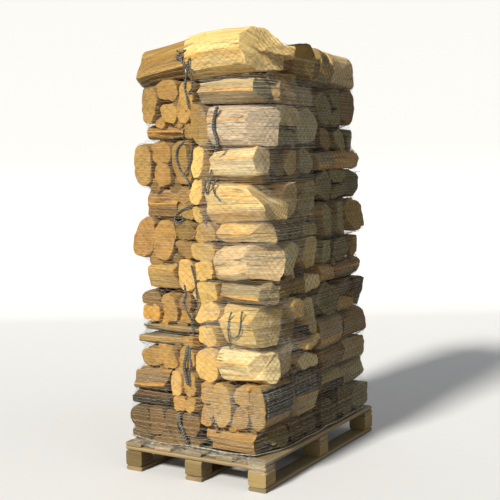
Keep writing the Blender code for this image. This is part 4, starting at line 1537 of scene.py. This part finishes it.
class FIREWOOD_OT_nets(bpy.types.Operator):
    """Stretch a net over the sides of every bag that show"""
    bl_idname = "firewood.nets"
    bl_label = "Nets"

    def execute(self, context):
        looks = context.scene.firewood_nets
        material = thread_material("net_thread", looks.colour, 0.45, 0.2)
        paths = {"front_left": ((1, 0), (0, 0), (0, 1)), "front_right": ((0, 0), (1, 0), (1, 1)),
                 "rear_right": ((1, 0), (1, 1), (0, 1)), "rear_left": ((1, 1), (0, 1), (0, 0))}
        for name, layer, corner, box, _ in stack_bags():
            logs = piece_points(name + "_logs")
            centre = logs[:, :2].min(0) / 2 + logs[:, :2].max(0) / 2
            slope, axis = bag_slope(layer, corner)
            logs[:, 2] -= slope * (logs[:, axis] - centre[axis])
            low, high = logs[:, 2].min(), logs[:, 2].max()
            envelope = Envelope(logs, centre, 0.006, 0.007, directions=64)
            angle = box_angles(box, centre, looks.steps, paths[corner])
            rows = max(3, round((high - low) / looks.mesh_width))
            middle = low + (np.arange(rows) + 0.5) / rows * (high - low)
            zigzag = np.where((np.arange(looks.steps)[None] + np.arange(rows)[:, None]) % 2 == 0, 1.0, -1.0)
            z = middle[:, None] + zigzag * (high - low) / rows / 2 * 0.96
            turn = np.broadcast_to(angle, z.shape)
            share = (envelope.ceiling(turn) - 0.006 - low) / (high - low)
            z = low + (z - low) * np.clip(share, 0.5, 1.0)
            lines = envelope.at(turn, z, looks.stand_off)
            lines[..., 2] += slope * (lines[..., axis] - centre[axis])
            out = outward(turn)
            thread = looks.thread * np.where(np.cos(turn) > 0.6, looks.doubled, 1.0)
            points, faces = tubes(lines, out, thread, 3, False)
            make_piece(name + "_net", points, faces, [material], smooth=60.0)
        return {"FINISHED"}


def bag_slope(layer, corner):
    """How much the logs on top of a bag slope, and the axis that they lie along."""
    tables = {"front_left": FRONT_LEFT, "front_right": FRONT_RIGHT, "rear_right": REAR_RIGHT,
              "rear_left": REAR_LEFT}
    course = tables[corner][layer - 1][1][-1]
    return sum(course[4:]), "xy".index(course[0])


# Routes of the draw cords on the front, as (x, z), with how thick they are
DRAW_CORDS = (
    ("thin", ((-0.075, 2.040), (-0.047, 2.029), (-0.070, 2.008), (-0.037, 1.992), (0.001, 1.962),
              (0.039, 1.929))),
    ("thin", ((-0.013, 2.040), (-0.030, 2.028), (-0.037, 1.992), (-0.008, 1.950), (-0.020, 1.900),
              (-0.024, 1.872), (-0.014, 1.835), (0.002, 1.798), (0.018, 1.765))),
    ("thin", ((0.019, 2.002), (0.001, 1.955), (0.016, 1.916), (0.015, 1.861), (-0.006, 1.838))),
    ("thick", ((0.171, 1.773), (0.154, 1.729), (0.147, 1.675), (0.162, 1.629), (0.167, 1.593),
               (0.150, 1.566))),
    ("thin", ((-0.014, 1.619), (-0.055, 1.587), (-0.067, 1.541), (-0.057, 1.494), (-0.036, 1.461),
              (-0.014, 1.429), (-0.009, 1.396))),
    ("thin", ((-0.014, 1.619), (-0.004, 1.586), (0.000, 1.540), (-0.007, 1.494), (-0.030, 1.466))),
    ("thin", ((0.087, 1.447), (0.086, 1.410), (0.101, 1.373), (0.113, 1.410), (0.103, 1.447),
              (0.115, 1.484))),
    ("thin", ((0.141, 1.447), (0.135, 1.410), (0.145, 1.374), (0.177, 1.337))),
    ("thin", ((0.039, 1.322), (0.000, 1.317), (-0.029, 1.307), (-0.069, 1.283), (-0.087, 1.254),
              (-0.065, 1.238), (-0.036, 1.250), (-0.046, 1.272))),
    ("thin", ((0.088, 1.290), (0.091, 1.260), (0.087, 1.230))),
    ("thin", ((0.009, 1.040), (0.019, 0.993), (0.023, 0.946), (0.027, 0.861), (0.014, 0.817),
              (-0.005, 0.773), (-0.005, 0.730), (-0.006, 0.696))),
    ("thin", ((-0.045, 0.942), (-0.041, 0.895), (-0.047, 0.856), (-0.026, 0.815), (-0.004, 0.773))),
    ("thin", ((0.203, 0.825), (0.191, 0.782), (0.184, 0.735), (0.183, 0.688), (0.182, 0.645))),
    ("thin", ((0.262, 0.833), (0.261, 0.778), (0.249, 0.730), (0.222, 0.705), (0.189, 0.702))),
    ("thick", ((-0.030, 0.651), (-0.037, 0.602), (-0.045, 0.553), (-0.034, 0.506), (-0.024, 0.463))),
    ("thin", ((-0.016, 0.640), (-0.022, 0.600), (-0.012, 0.555), (-0.020, 0.510), (-0.016, 0.470))),
    ("thick", ((-0.086, 0.320), (-0.087, 0.276), (-0.071, 0.239), (-0.055, 0.201), (-0.038, 0.169))),
    ("thin", ((0.085, 0.316), (0.119, 0.296), (0.129, 0.264), (0.106, 0.241))),
)


def smooth_route(points, step):
    """A smooth curve through given points, evenly stepped: Catmull-Rom, in whole arrays."""
    points = np.array(points, float)
    ends = np.vstack([2 * points[0] - points[1], points, 2 * points[-1] - points[-2]])
    t = np.linspace(0.0, 1.0, 12, endpoint=False)[None, :, None]
    a, b, c, d = (ends[i:len(ends) - 3 + i, None] for i in range(4))
    curve = 0.5 * (2 * b + (c - a) * t + (2 * a - 5 * b + 4 * c - d) * t ** 2
                   + (3 * b - a - 3 * c + d) * t ** 3)
    curve = np.vstack([curve.reshape(-1, points.shape[1]), points[-1:]])
    walked = measured(curve)
    places = np.linspace(0.0, walked[-1], max(6, int(walked[-1] / step)))
    return np.stack([np.interp(places, walked, curve[:, i]) for i in range(points.shape[1])], 1), places


class FIREWOOD_OT_draw_cords(bpy.types.Operator):
    """Lay the draw cords of the bags on the front, under the wrap"""
    bl_idname = "firewood.draw_cords"
    bl_label = "Draw cords"

    def execute(self, context):
        looks = context.scene.firewood_cords
        material = cord_material(looks)
        front = front_surface()
        for number, (kind, route) in enumerate(DRAW_CORDS):
            radius = getattr(looks, kind)
            line, places = smooth_route(route, radius * 0.9)
            depth = np.array([front(x, z) for x, z in line])
            width = 9
            padded = np.pad(depth, width, mode="edge")
            nearest = np.lib.stride_tricks.sliding_window_view(padded, 2 * width + 1).min(-1)
            eased = np.convolve(np.pad(nearest, 6, mode="edge"), np.ones(13) / 13, "valid")
            path = np.stack([line[:, 0], eased - radius * 0.9, line[:, 1]], 1)
            sides = 10
            angle = math.tau * np.arange(sides) / sides
            turn = math.tau * places / looks.twist
            section = 1.0 + 0.16 * np.cos(2 * (angle[None] - turn[:, None]))
            section *= 1.0 + 0.10 * np.sin(math.tau * places / (looks.twist * 0.8))[:, None]
            section[[0, -1]] *= 0.55
            points, faces = tubes(path[None], np.array([0.0, -1.0, 0.0]), radius, sides, False, section)
            quads = faces[0]
            step, side = np.divmod(quads, sides)
            u = places[step]
            v = side / sides
            v[:, 1:3] = (side[:, :1] + 1) / sides
            uv = [np.stack([u, v], -1).reshape(-1, 2), np.zeros((2 * sides, 2))]
            make_piece(f"draw_cord_{number + 1:02d}", points, faces, [material],
                       np.concatenate(uv), smooth=70.0)
        return {"FINISHED"}


def front_surface():
    """Gives a function that says where the front of the logs lies at (x, z)."""
    names = [bag[0] + "_logs" for bag in stack_bags() if "front" in bag[2]]
    graph = bpy.context.evaluated_depsgraph_get()
    trees = [BVHTree.FromObject(bpy.data.objects[name], graph) for name in names]

    def depth(x, z):
        hits = [tree.ray_cast(Vector((x, -0.8, z)), Vector((0.0, 1.0, 0.0)), 0.6)[0] for tree in trees]
        found = [hit.y for hit in hits if hit is not None]
        return min(found) if found else FRONT + 0.03
    return depth


class FIREWOOD_OT_wrap(bpy.types.Operator):
    """Knit the wrap round the stack, row by row, with its roped hem and its bunched end"""
    bl_idname = "firewood.wrap"
    bl_label = "Knitted wrap"

    def execute(self, context):
        looks = context.scene.firewood_wrap
        rng = np.random.default_rng(SEED)
        material = thread_material("wrap_thread", looks.colour, 0.42, 0.25)
        logs = np.concatenate([piece_points(bag[0] + "_logs") for bag in stack_bags()])
        low, high = logs.min(0), logs.max(0)
        centre = (low + high)[:2] / 2
        envelope = Envelope(logs, centre, 0.008, 0.012, directions=128)
        box = ((low[0], high[0]), (low[1], high[1]))
        loop = ((0, 0), (1, 0), (1, 1), (0, 1), (0, 0))
        angle = box_angles(box, centre, looks.steps + 1, loop)[:-1]
        count = int((looks.head - looks.foot) / looks.pitch)
        rows = looks.foot + looks.pitch * (np.arange(count) + rng.uniform(-0.36, 0.36, count))
        lines, out = wrap_rows(envelope, angle, rows, looks, rng, looks.wander)
        thirds = np.array_split(np.arange(count), 3)
        for number, pick in enumerate(thirds):
            points, faces = tubes(lines[pick], out[pick], looks.chain, 3, True)
            make_piece(f"wrap_rows_{number + 1}", points, faces, [material], smooth=60.0)
        flip = np.arange(looks.steps) % 2 == 0
        for number, pick in enumerate(thirds):
            lower = pick[pick < count - 1]
            zigzag = np.where(flip[None, :, None], lines[lower], lines[lower + 1])
            points, faces = tubes(zigzag, out[lower], looks.link, 3, True)
            make_piece(f"wrap_zigzags_{number + 1}", points, faces, [material], smooth=60.0)

        # A second layer over the near corner, drawn tight into close rows
        turn = box_angles(box, centre, 56, ((0, 0), (1, 0), (1, 1)))
        near = (turn > turn[0] + looks.close_from) & (turn < turn[0] + looks.close_to)
        turn = np.linspace(turn[near][0], turn[near][-1], 44)
        close = np.concatenate([np.arange(a, b, looks.close_pitch) for a, b in looks_spans(looks)])
        close = close + rng.uniform(-0.4, 0.4, len(close)) * looks.close_pitch
        lines, out = wrap_rows(envelope, turn, close, looks, rng, 0.5 * looks.wander)
        points, faces = tubes(lines, out, looks.chain * rng.uniform(1.0, 1.9, (len(close), 1)), 3, False)
        make_piece("wrap_close_rows", points, faces, [material], smooth=60.0)

        # The roped hem, two strands wound round each other
        roped = thread_material("roped_hem", looks.hem_colour, 0.5, 0.2)
        steps = 448
        turn = np.interp(np.linspace(0, 1, steps, endpoint=False), np.linspace(0, 1, looks.steps + 1),
                         np.append(angle, angle[0] + math.tau))
        z = looks.hem_height + 0.004 * np.sin(3 * turn + 1.0) + 0.003 * np.sin(11 * turn)
        line = envelope.at(turn, z, looks.hem * 0.9)
        out = outward(turn)
        wound = math.tau * np.arange(steps) / 7.0
        for strand in (0, 1):
            phase = (wound + strand * math.pi)[:, None]
            path = line + 0.55 * looks.hem * (np.cos(phase) * out + np.sin(phase) * np.array([0.0, 0.0, 1.0]))
            points, faces = tubes(path[None], out[None], 0.55 * looks.hem, 5, True)
            make_piece(f"wrap_hem_{strand + 1}", points, faces, [roped], smooth=60.0)

        film = film_material(looks)
        build_film("wrap_corner_film", ((0.31, -0.6), (0.4, -0.6), (0.4, -0.53)), (0.166, 0.092), 0.0045, film, rng)
        build_film("wrap_front_film", ((-0.36, -0.6), (0.32, -0.6)), (0.168, 0.134), 0.0040, film, rng)
        return {"FINISHED"}


def looks_spans(looks):
    """The heights between which the second layer's rows lie close."""
    return ((looks.close_foot, looks.close_foot + 0.16), (0.62, 0.86), (1.05, looks.close_head))


def wrap_rows(envelope, angle, rows, looks, rng, wander):
    """The lines of the wrap's rows, which sway up and down as a sum of waves, and the way out."""
    turn = np.broadcast_to(angle, (len(rows), len(angle)))
    part = (turn - angle[0]) / math.tau
    sway = np.zeros_like(part)
    for waves in (2, 5, 9, 14):
        phase = rng.uniform(0, math.tau)
        slow = rows[:, None] * rng.uniform(2.0, 9.0)
        sway += np.sin(math.tau * waves * part + phase + slow) * wander / 3
    sway += rng.normal(0.0, wander / 6, sway.shape)
    z = rows[:, None] + sway
    share = (envelope.ceiling(turn) - looks.below_top - looks.level_to) / (looks.head - looks.level_to)
    z = np.where(z > looks.level_to, looks.level_to + (z - looks.level_to) * np.clip(share, 0.45, 1.0), z)
    out = outward(turn)
    return envelope.at(turn, z, looks.stand_off), out


def film_material(looks):
    """Wrap that has bunched to a cloudy film: folds and threads show, and the rest is thin."""
    material, tree, shader = new_material("bunched_wrap", 0.32)
    place = place_on(tree)
    fold = noise(tree, scaled(tree, place, (26.0, 26.0, 120.0)), detail=4.0, roughness=0.6, distortion=1.2)
    thread = noise(tree, scaled(tree, place, (40.0, 40.0, 520.0)), detail=2.0)
    dense = math_node(tree, "ADD", remap(tree, fold, 0.42, 0.68), remap(tree, thread, 0.55, 0.70, 0.0, 0.5))
    shader["Base Color"].default_value = (*looks.colour, 1.0)
    tree.links.new(remap(tree, dense, 0.0, 1.3, looks.film_thin, looks.film_thick), shader["Alpha"])
    bump(tree, fold, 0.004, 0.8, shader)
    return material


def build_film(name, path, span, stand_off, material, rng):
    """A crumpled band of film along a path of (x, y) corners, between two heights.

    Point (along, down) stands stand_off outside the path, moved out and in by folds: sines of
    the place along it and of the height, of rising count.
    """
    path = np.array(path)
    walked = measured(path)
    u = np.linspace(0.0, walked[-1], int(walked[-1] / 0.005))
    v = np.linspace(0.0, 1.0, 16)
    centre = np.stack([np.interp(u, walked, path[:, i]) for i in (0, 1)], 1)
    soft = np.array([1.0, 2.0, 3.0, 2.0, 1.0]) / 9.0
    wide = np.pad(centre, ((2, 2), (0, 0)), mode="edge")
    centre = np.stack([np.convolve(wide[:, i], soft, "valid") for i in (0, 1)], 1)
    along = np.gradient(centre, axis=0)
    along /= np.linalg.norm(along, axis=1, keepdims=True)
    out = np.stack([along[:, 1], -along[:, 0]], 1)
    fold = np.zeros((len(u), len(v)))
    for count in range(1, 7):
        phase = rng.uniform(0, math.tau, 2)
        fold += np.sin(38.0 * count * u[:, None] + phase[0] + 1.7 * count * np.sin(5 * v + phase[1])) / count
    reach = stand_off + 0.0016 * fold + 0.001 * np.sin(9.0 * v)[None]
    z = span[0] + (span[1] - span[0]) * v[None] + 0.006 * np.sin(14.0 * u + rng.uniform(0, 6))[:, None]
    flat = centre[:, None] + reach[..., None] * out[:, None]
    grid = np.concatenate([flat, np.broadcast_to(z, fold.shape)[..., None]], -1)
    quads = grid_faces(len(u), len(v), closed=False)[2]
    return make_piece(name, grid.reshape(-1, 3), [quads.reshape(-1, 4)], [material],
                      smooth=80.0)


class FIREWOOD_OT_pallet(bpy.types.Operator):
    """Make the pallet's boards, blocks and nails"""
    bl_idname = "firewood.pallet"
    bl_label = "Pallet"

    def execute(self, context):
        looks = context.scene.firewood_pallet
        groups = {"fibre": bpy.data.node_groups["wood_fibre"], "rings": bpy.data.node_groups["growth_rings"],
                  "weather": bpy.data.node_groups["weather"]}
        board = board_material(groups, "pallet_board", looks.board, looks.grey, 0.75)
        block = board_material(groups, "pallet_block", looks.block, looks.grey, 0.35)
        nodes = sorted(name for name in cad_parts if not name.startswith("bag_"))
        for number, node in enumerate(nodes):
            rng = np.random.default_rng(SEED * 100 + number)
            points, faces, uvs, marks = fine_timber(node, looks, rng)
            is_block = node.startswith("block")
            piece = make_piece(node + "_timber", points, faces, [block if is_block else board],
                               np.concatenate([uv.reshape(-1, 2) for uv in uvs]), smooth=40.0)
            shade = rng.uniform(0.82, 1.12) * rng.uniform(0.96, 1.04, 3) * looks_shade(node)
            colours = np.broadcast_to([*shade, rng.random()], (len(points), 4))
            colour_points(piece, "board_colour", colours)
            colour_points(piece, "board_marks", marks)
            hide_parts(node)
        build_nails(looks)
        return {"FINISHED"}


def build_nails(looks):
    """The nails' heads, two wherever a deck board crosses a cross board.

    A head is a shallow dome: rings of radius nail * cos(a) and height 0.35 * nail * sin(a).
    """
    rng = np.random.default_rng(SEED)
    spots = []
    for number in range(1, 6):
        (x0, _, _), (x1, _, top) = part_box(f"deck_board_{number}")
        for cross in ("front", "centre", "rear"):
            (_, y0, _), (_, y1, _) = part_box(f"cross_board_{cross}")
            for part in (0.27, 0.73):
                aside = rng.normal(0.0, 0.004, 2)
                spots.append((x0 + part * (x1 - x0) + aside[0], (y0 + y1) / 2 + aside[1], top))
    spots = np.array(spots)
    angle = math.tau * np.arange(10) / 10
    rise = np.array([-0.6, 0.0, 0.5, 0.9])
    ring = looks.nail * np.cos(np.maximum(rise, 0.0))
    high = 0.35 * looks.nail * np.sin(rise) - 0.0003
    shape = np.stack([ring[:, None] * np.cos(angle), ring[:, None] * np.sin(angle),
                      np.broadcast_to(high[:, None], (4, 10))], -1).reshape(-1, 3)
    shape = np.vstack([shape, [0.0, 0.0, 0.33 * looks.nail]])
    points = (spots[:, None] + shape[None]).reshape(-1, 3)
    base = np.arange(len(spots))[:, None, None] * 41
    quads = grid_faces(4, 10)[2].reshape(1, -1, 4)
    side = np.arange(10)
    cap = np.stack([30 + side, 30 + (side + 1) % 10, np.full(10, 40)], -1)[None]
    material, tree, shader = new_material("nail_steel", 0.55)
    rust = noise(tree, place_on(tree), 300.0, detail=3.0)
    tree.links.new(tint(tree, remap(tree, rust, 0.4, 0.6), (*looks.steel, 1.0), (0.34, 0.30, 0.26, 1.0)),
                   shader["Base Color"])
    shader["Metallic"].default_value = 0.8
    make_piece("nails", points, [(quads + base).reshape(-1, 4), (cap + base).reshape(-1, 3)], [material],
               smooth=50.0)


def looks_shade(node):
    """How bright a timber is against the usual one."""
    return {"block_front_left": 0.44, "block_front_middle": 0.58, "cross_board_front": 1.2,
            "block_front_right": 1.05}.get(node, 1.0)


class FIREWOOD_OT_stage(bpy.types.Operator):
    """Set up the floor, the lights and the photographer's camera"""
    bl_idname = "firewood.stage"
    bl_label = "Stage"

    def execute(self, context):
        looks = context.scene.firewood_stage
        material, tree, shader = new_material("plain_floor", 0.9)
        seen = put(tree, "ShaderNodeLightPath").outputs["Is Camera Ray"]
        dim = tuple(looks.bounce * c for c in looks.floor)
        tree.links.new(tint(tree, seen, (*dim, 1.0), (*looks.floor, 1.0)), shader["Base Color"])
        profile = [(-9.0, 0.0), (4.2, 0.0)]
        profile += [(4.2 + 1.6 * math.sin(a), 1.6 - 1.6 * math.cos(a)) for a in np.linspace(0.1, math.pi / 2, 14)]
        profile.append((5.8, 9.0))
        profile = np.array(profile)
        turn = looks.azimuth
        width = np.array([-12.0, 12.0])
        away, high = profile[:, 0][:, None], profile[:, 1][:, None]
        x = width * math.cos(turn) - away * math.sin(turn)
        y = width * math.sin(turn) + away * math.cos(turn)
        points = np.stack([x, y, np.broadcast_to(high, x.shape)], -1).reshape(-1, 3)
        start = np.arange(len(profile) - 1) * 2
        quads = np.stack([start, start + 1, start + 3, start + 2], 1)
        mesh = bpy.data.meshes.new("floor")
        mesh.from_pydata(points.tolist(), [], quads.tolist())
        mesh.materials.append(material)
        mesh.shade_smooth()
        floor = bpy.data.objects.new("floor", mesh)
        context.scene.collection.objects.link(floor)

        world = bpy.data.worlds.new("studio")
        context.scene.world = world
        world.use_nodes = True
        background = world.node_tree.nodes["Background"].inputs
        background["Color"].default_value = (0.98, 0.97, 0.92, 1.0)
        tree = world.node_tree
        seen = put(tree, "ShaderNodeLightPath").outputs["Is Camera Ray"]
        tree.links.new(math_node(tree, "MULTIPLY_ADD", seen, looks.backdrop - looks.fill, looks.fill),
                       background["Strength"])
        for name, strength, spread, colour, towards in (
                ("key", looks.key, 9.0, (1.0, 0.94, 0.80), (-0.08, -0.82, 0.58)),
                ("side", looks.side, 50.0, (0.98, 0.97, 0.90), (0.74, -0.10, 0.66))):
            sun = bpy.data.lights.new(name, "SUN")
            sun.energy = strength
            sun.angle = math.radians(spread)
            sun.color = colour
            light = bpy.data.objects.new(name, sun)
            light.rotation_mode = "QUATERNION"
            light.rotation_quaternion = Vector(towards).to_track_quat("Z", "Y")
            context.scene.collection.objects.link(light)

        lens = bpy.data.cameras.new("camera")
        lens.lens = looks.lens
        lens.sensor_width = 36.0
        camera = bpy.data.objects.new("camera", lens)
        a, p, r = looks.azimuth, looks.pitch, looks.roll
        level = Vector((-math.sin(a), math.cos(a), 0.0))
        right = Vector((math.cos(a), math.sin(a), 0.0))
        up = Vector((0.0, 0.0, 1.0))
        ahead = level * math.cos(p) - up * math.sin(p)
        above = up * math.cos(p) + level * math.sin(p)
        side = right * math.cos(r) + above * math.sin(r)
        above = above * math.cos(r) - right * math.sin(r)
        place = right * looks.aside - level * looks.distance
        place.z = looks.height
        camera.matrix_world = Matrix((
            (side.x, above.x, -ahead.x, place.x),
            (side.y, above.y, -ahead.y, place.y),
            (side.z, above.z, -ahead.z, place.z),
            (0.0, 0.0, 0.0, 1.0)))
        context.scene.collection.objects.link(camera)
        context.scene.camera = camera
        context.scene.view_settings.view_transform = "Standard"
        return {"FINISHED"}


class FIREWOOD_PT_panel(bpy.types.Panel):
    """The firewood pallet's pieces"""
    bl_label = "Firewood"
    bl_idname = "FIREWOOD_PT_panel"
    bl_space_type = "VIEW_3D"
    bl_region_type = "UI"
    bl_category = "Firewood"

    def draw(self, context):
        for step in STEPS:
            self.layout.operator(step.bl_idname)
        for name, _ in LOOKS:
            box = self.layout.box()
            looks = getattr(context.scene, name)
            for entry in looks.bl_rna.properties:
                if entry.identifier not in {"rna_type", "name"}:
                    box.prop(looks, entry.identifier)


LOOKS = (
    ("firewood_logs", LogLooks),
    ("firewood_nets", NetLooks),
    ("firewood_cords", CordLooks),
    ("firewood_wrap", WrapLooks),
    ("firewood_pallet", PalletLooks),
    ("firewood_stage", StageLooks),
)
STEPS = (FIREWOOD_OT_bags, FIREWOOD_OT_nets, FIREWOOD_OT_draw_cords, FIREWOOD_OT_wrap, FIREWOOD_OT_pallet,
         FIREWOOD_OT_stage)


def register():
    """Registers the properties, operators and panel."""
    for name, group in LOOKS:
        bpy.utils.register_class(group)
        setattr(bpy.types.Scene, name, PointerProperty(type=group))
    for entry in (*STEPS, FIREWOOD_PT_panel):
        bpy.utils.register_class(entry)


def unregister():
    """Takes them away again."""
    for entry in reversed((*STEPS, FIREWOOD_PT_panel)):
        bpy.utils.unregister_class(entry)
    for name, group in reversed(LOOKS):
        delattr(bpy.types.Scene, name)
        bpy.utils.unregister_class(group)


def main():
    """Makes every piece."""
    register()
    bpy.ops.firewood.bags()
    bpy.ops.firewood.nets()
    bpy.ops.firewood.draw_cords()
    bpy.ops.firewood.wrap()
    bpy.ops.firewood.pallet()
    bpy.ops.firewood.stage()
    bpy.context.view_layer.update()


if __name__ == "__main__":
    main()
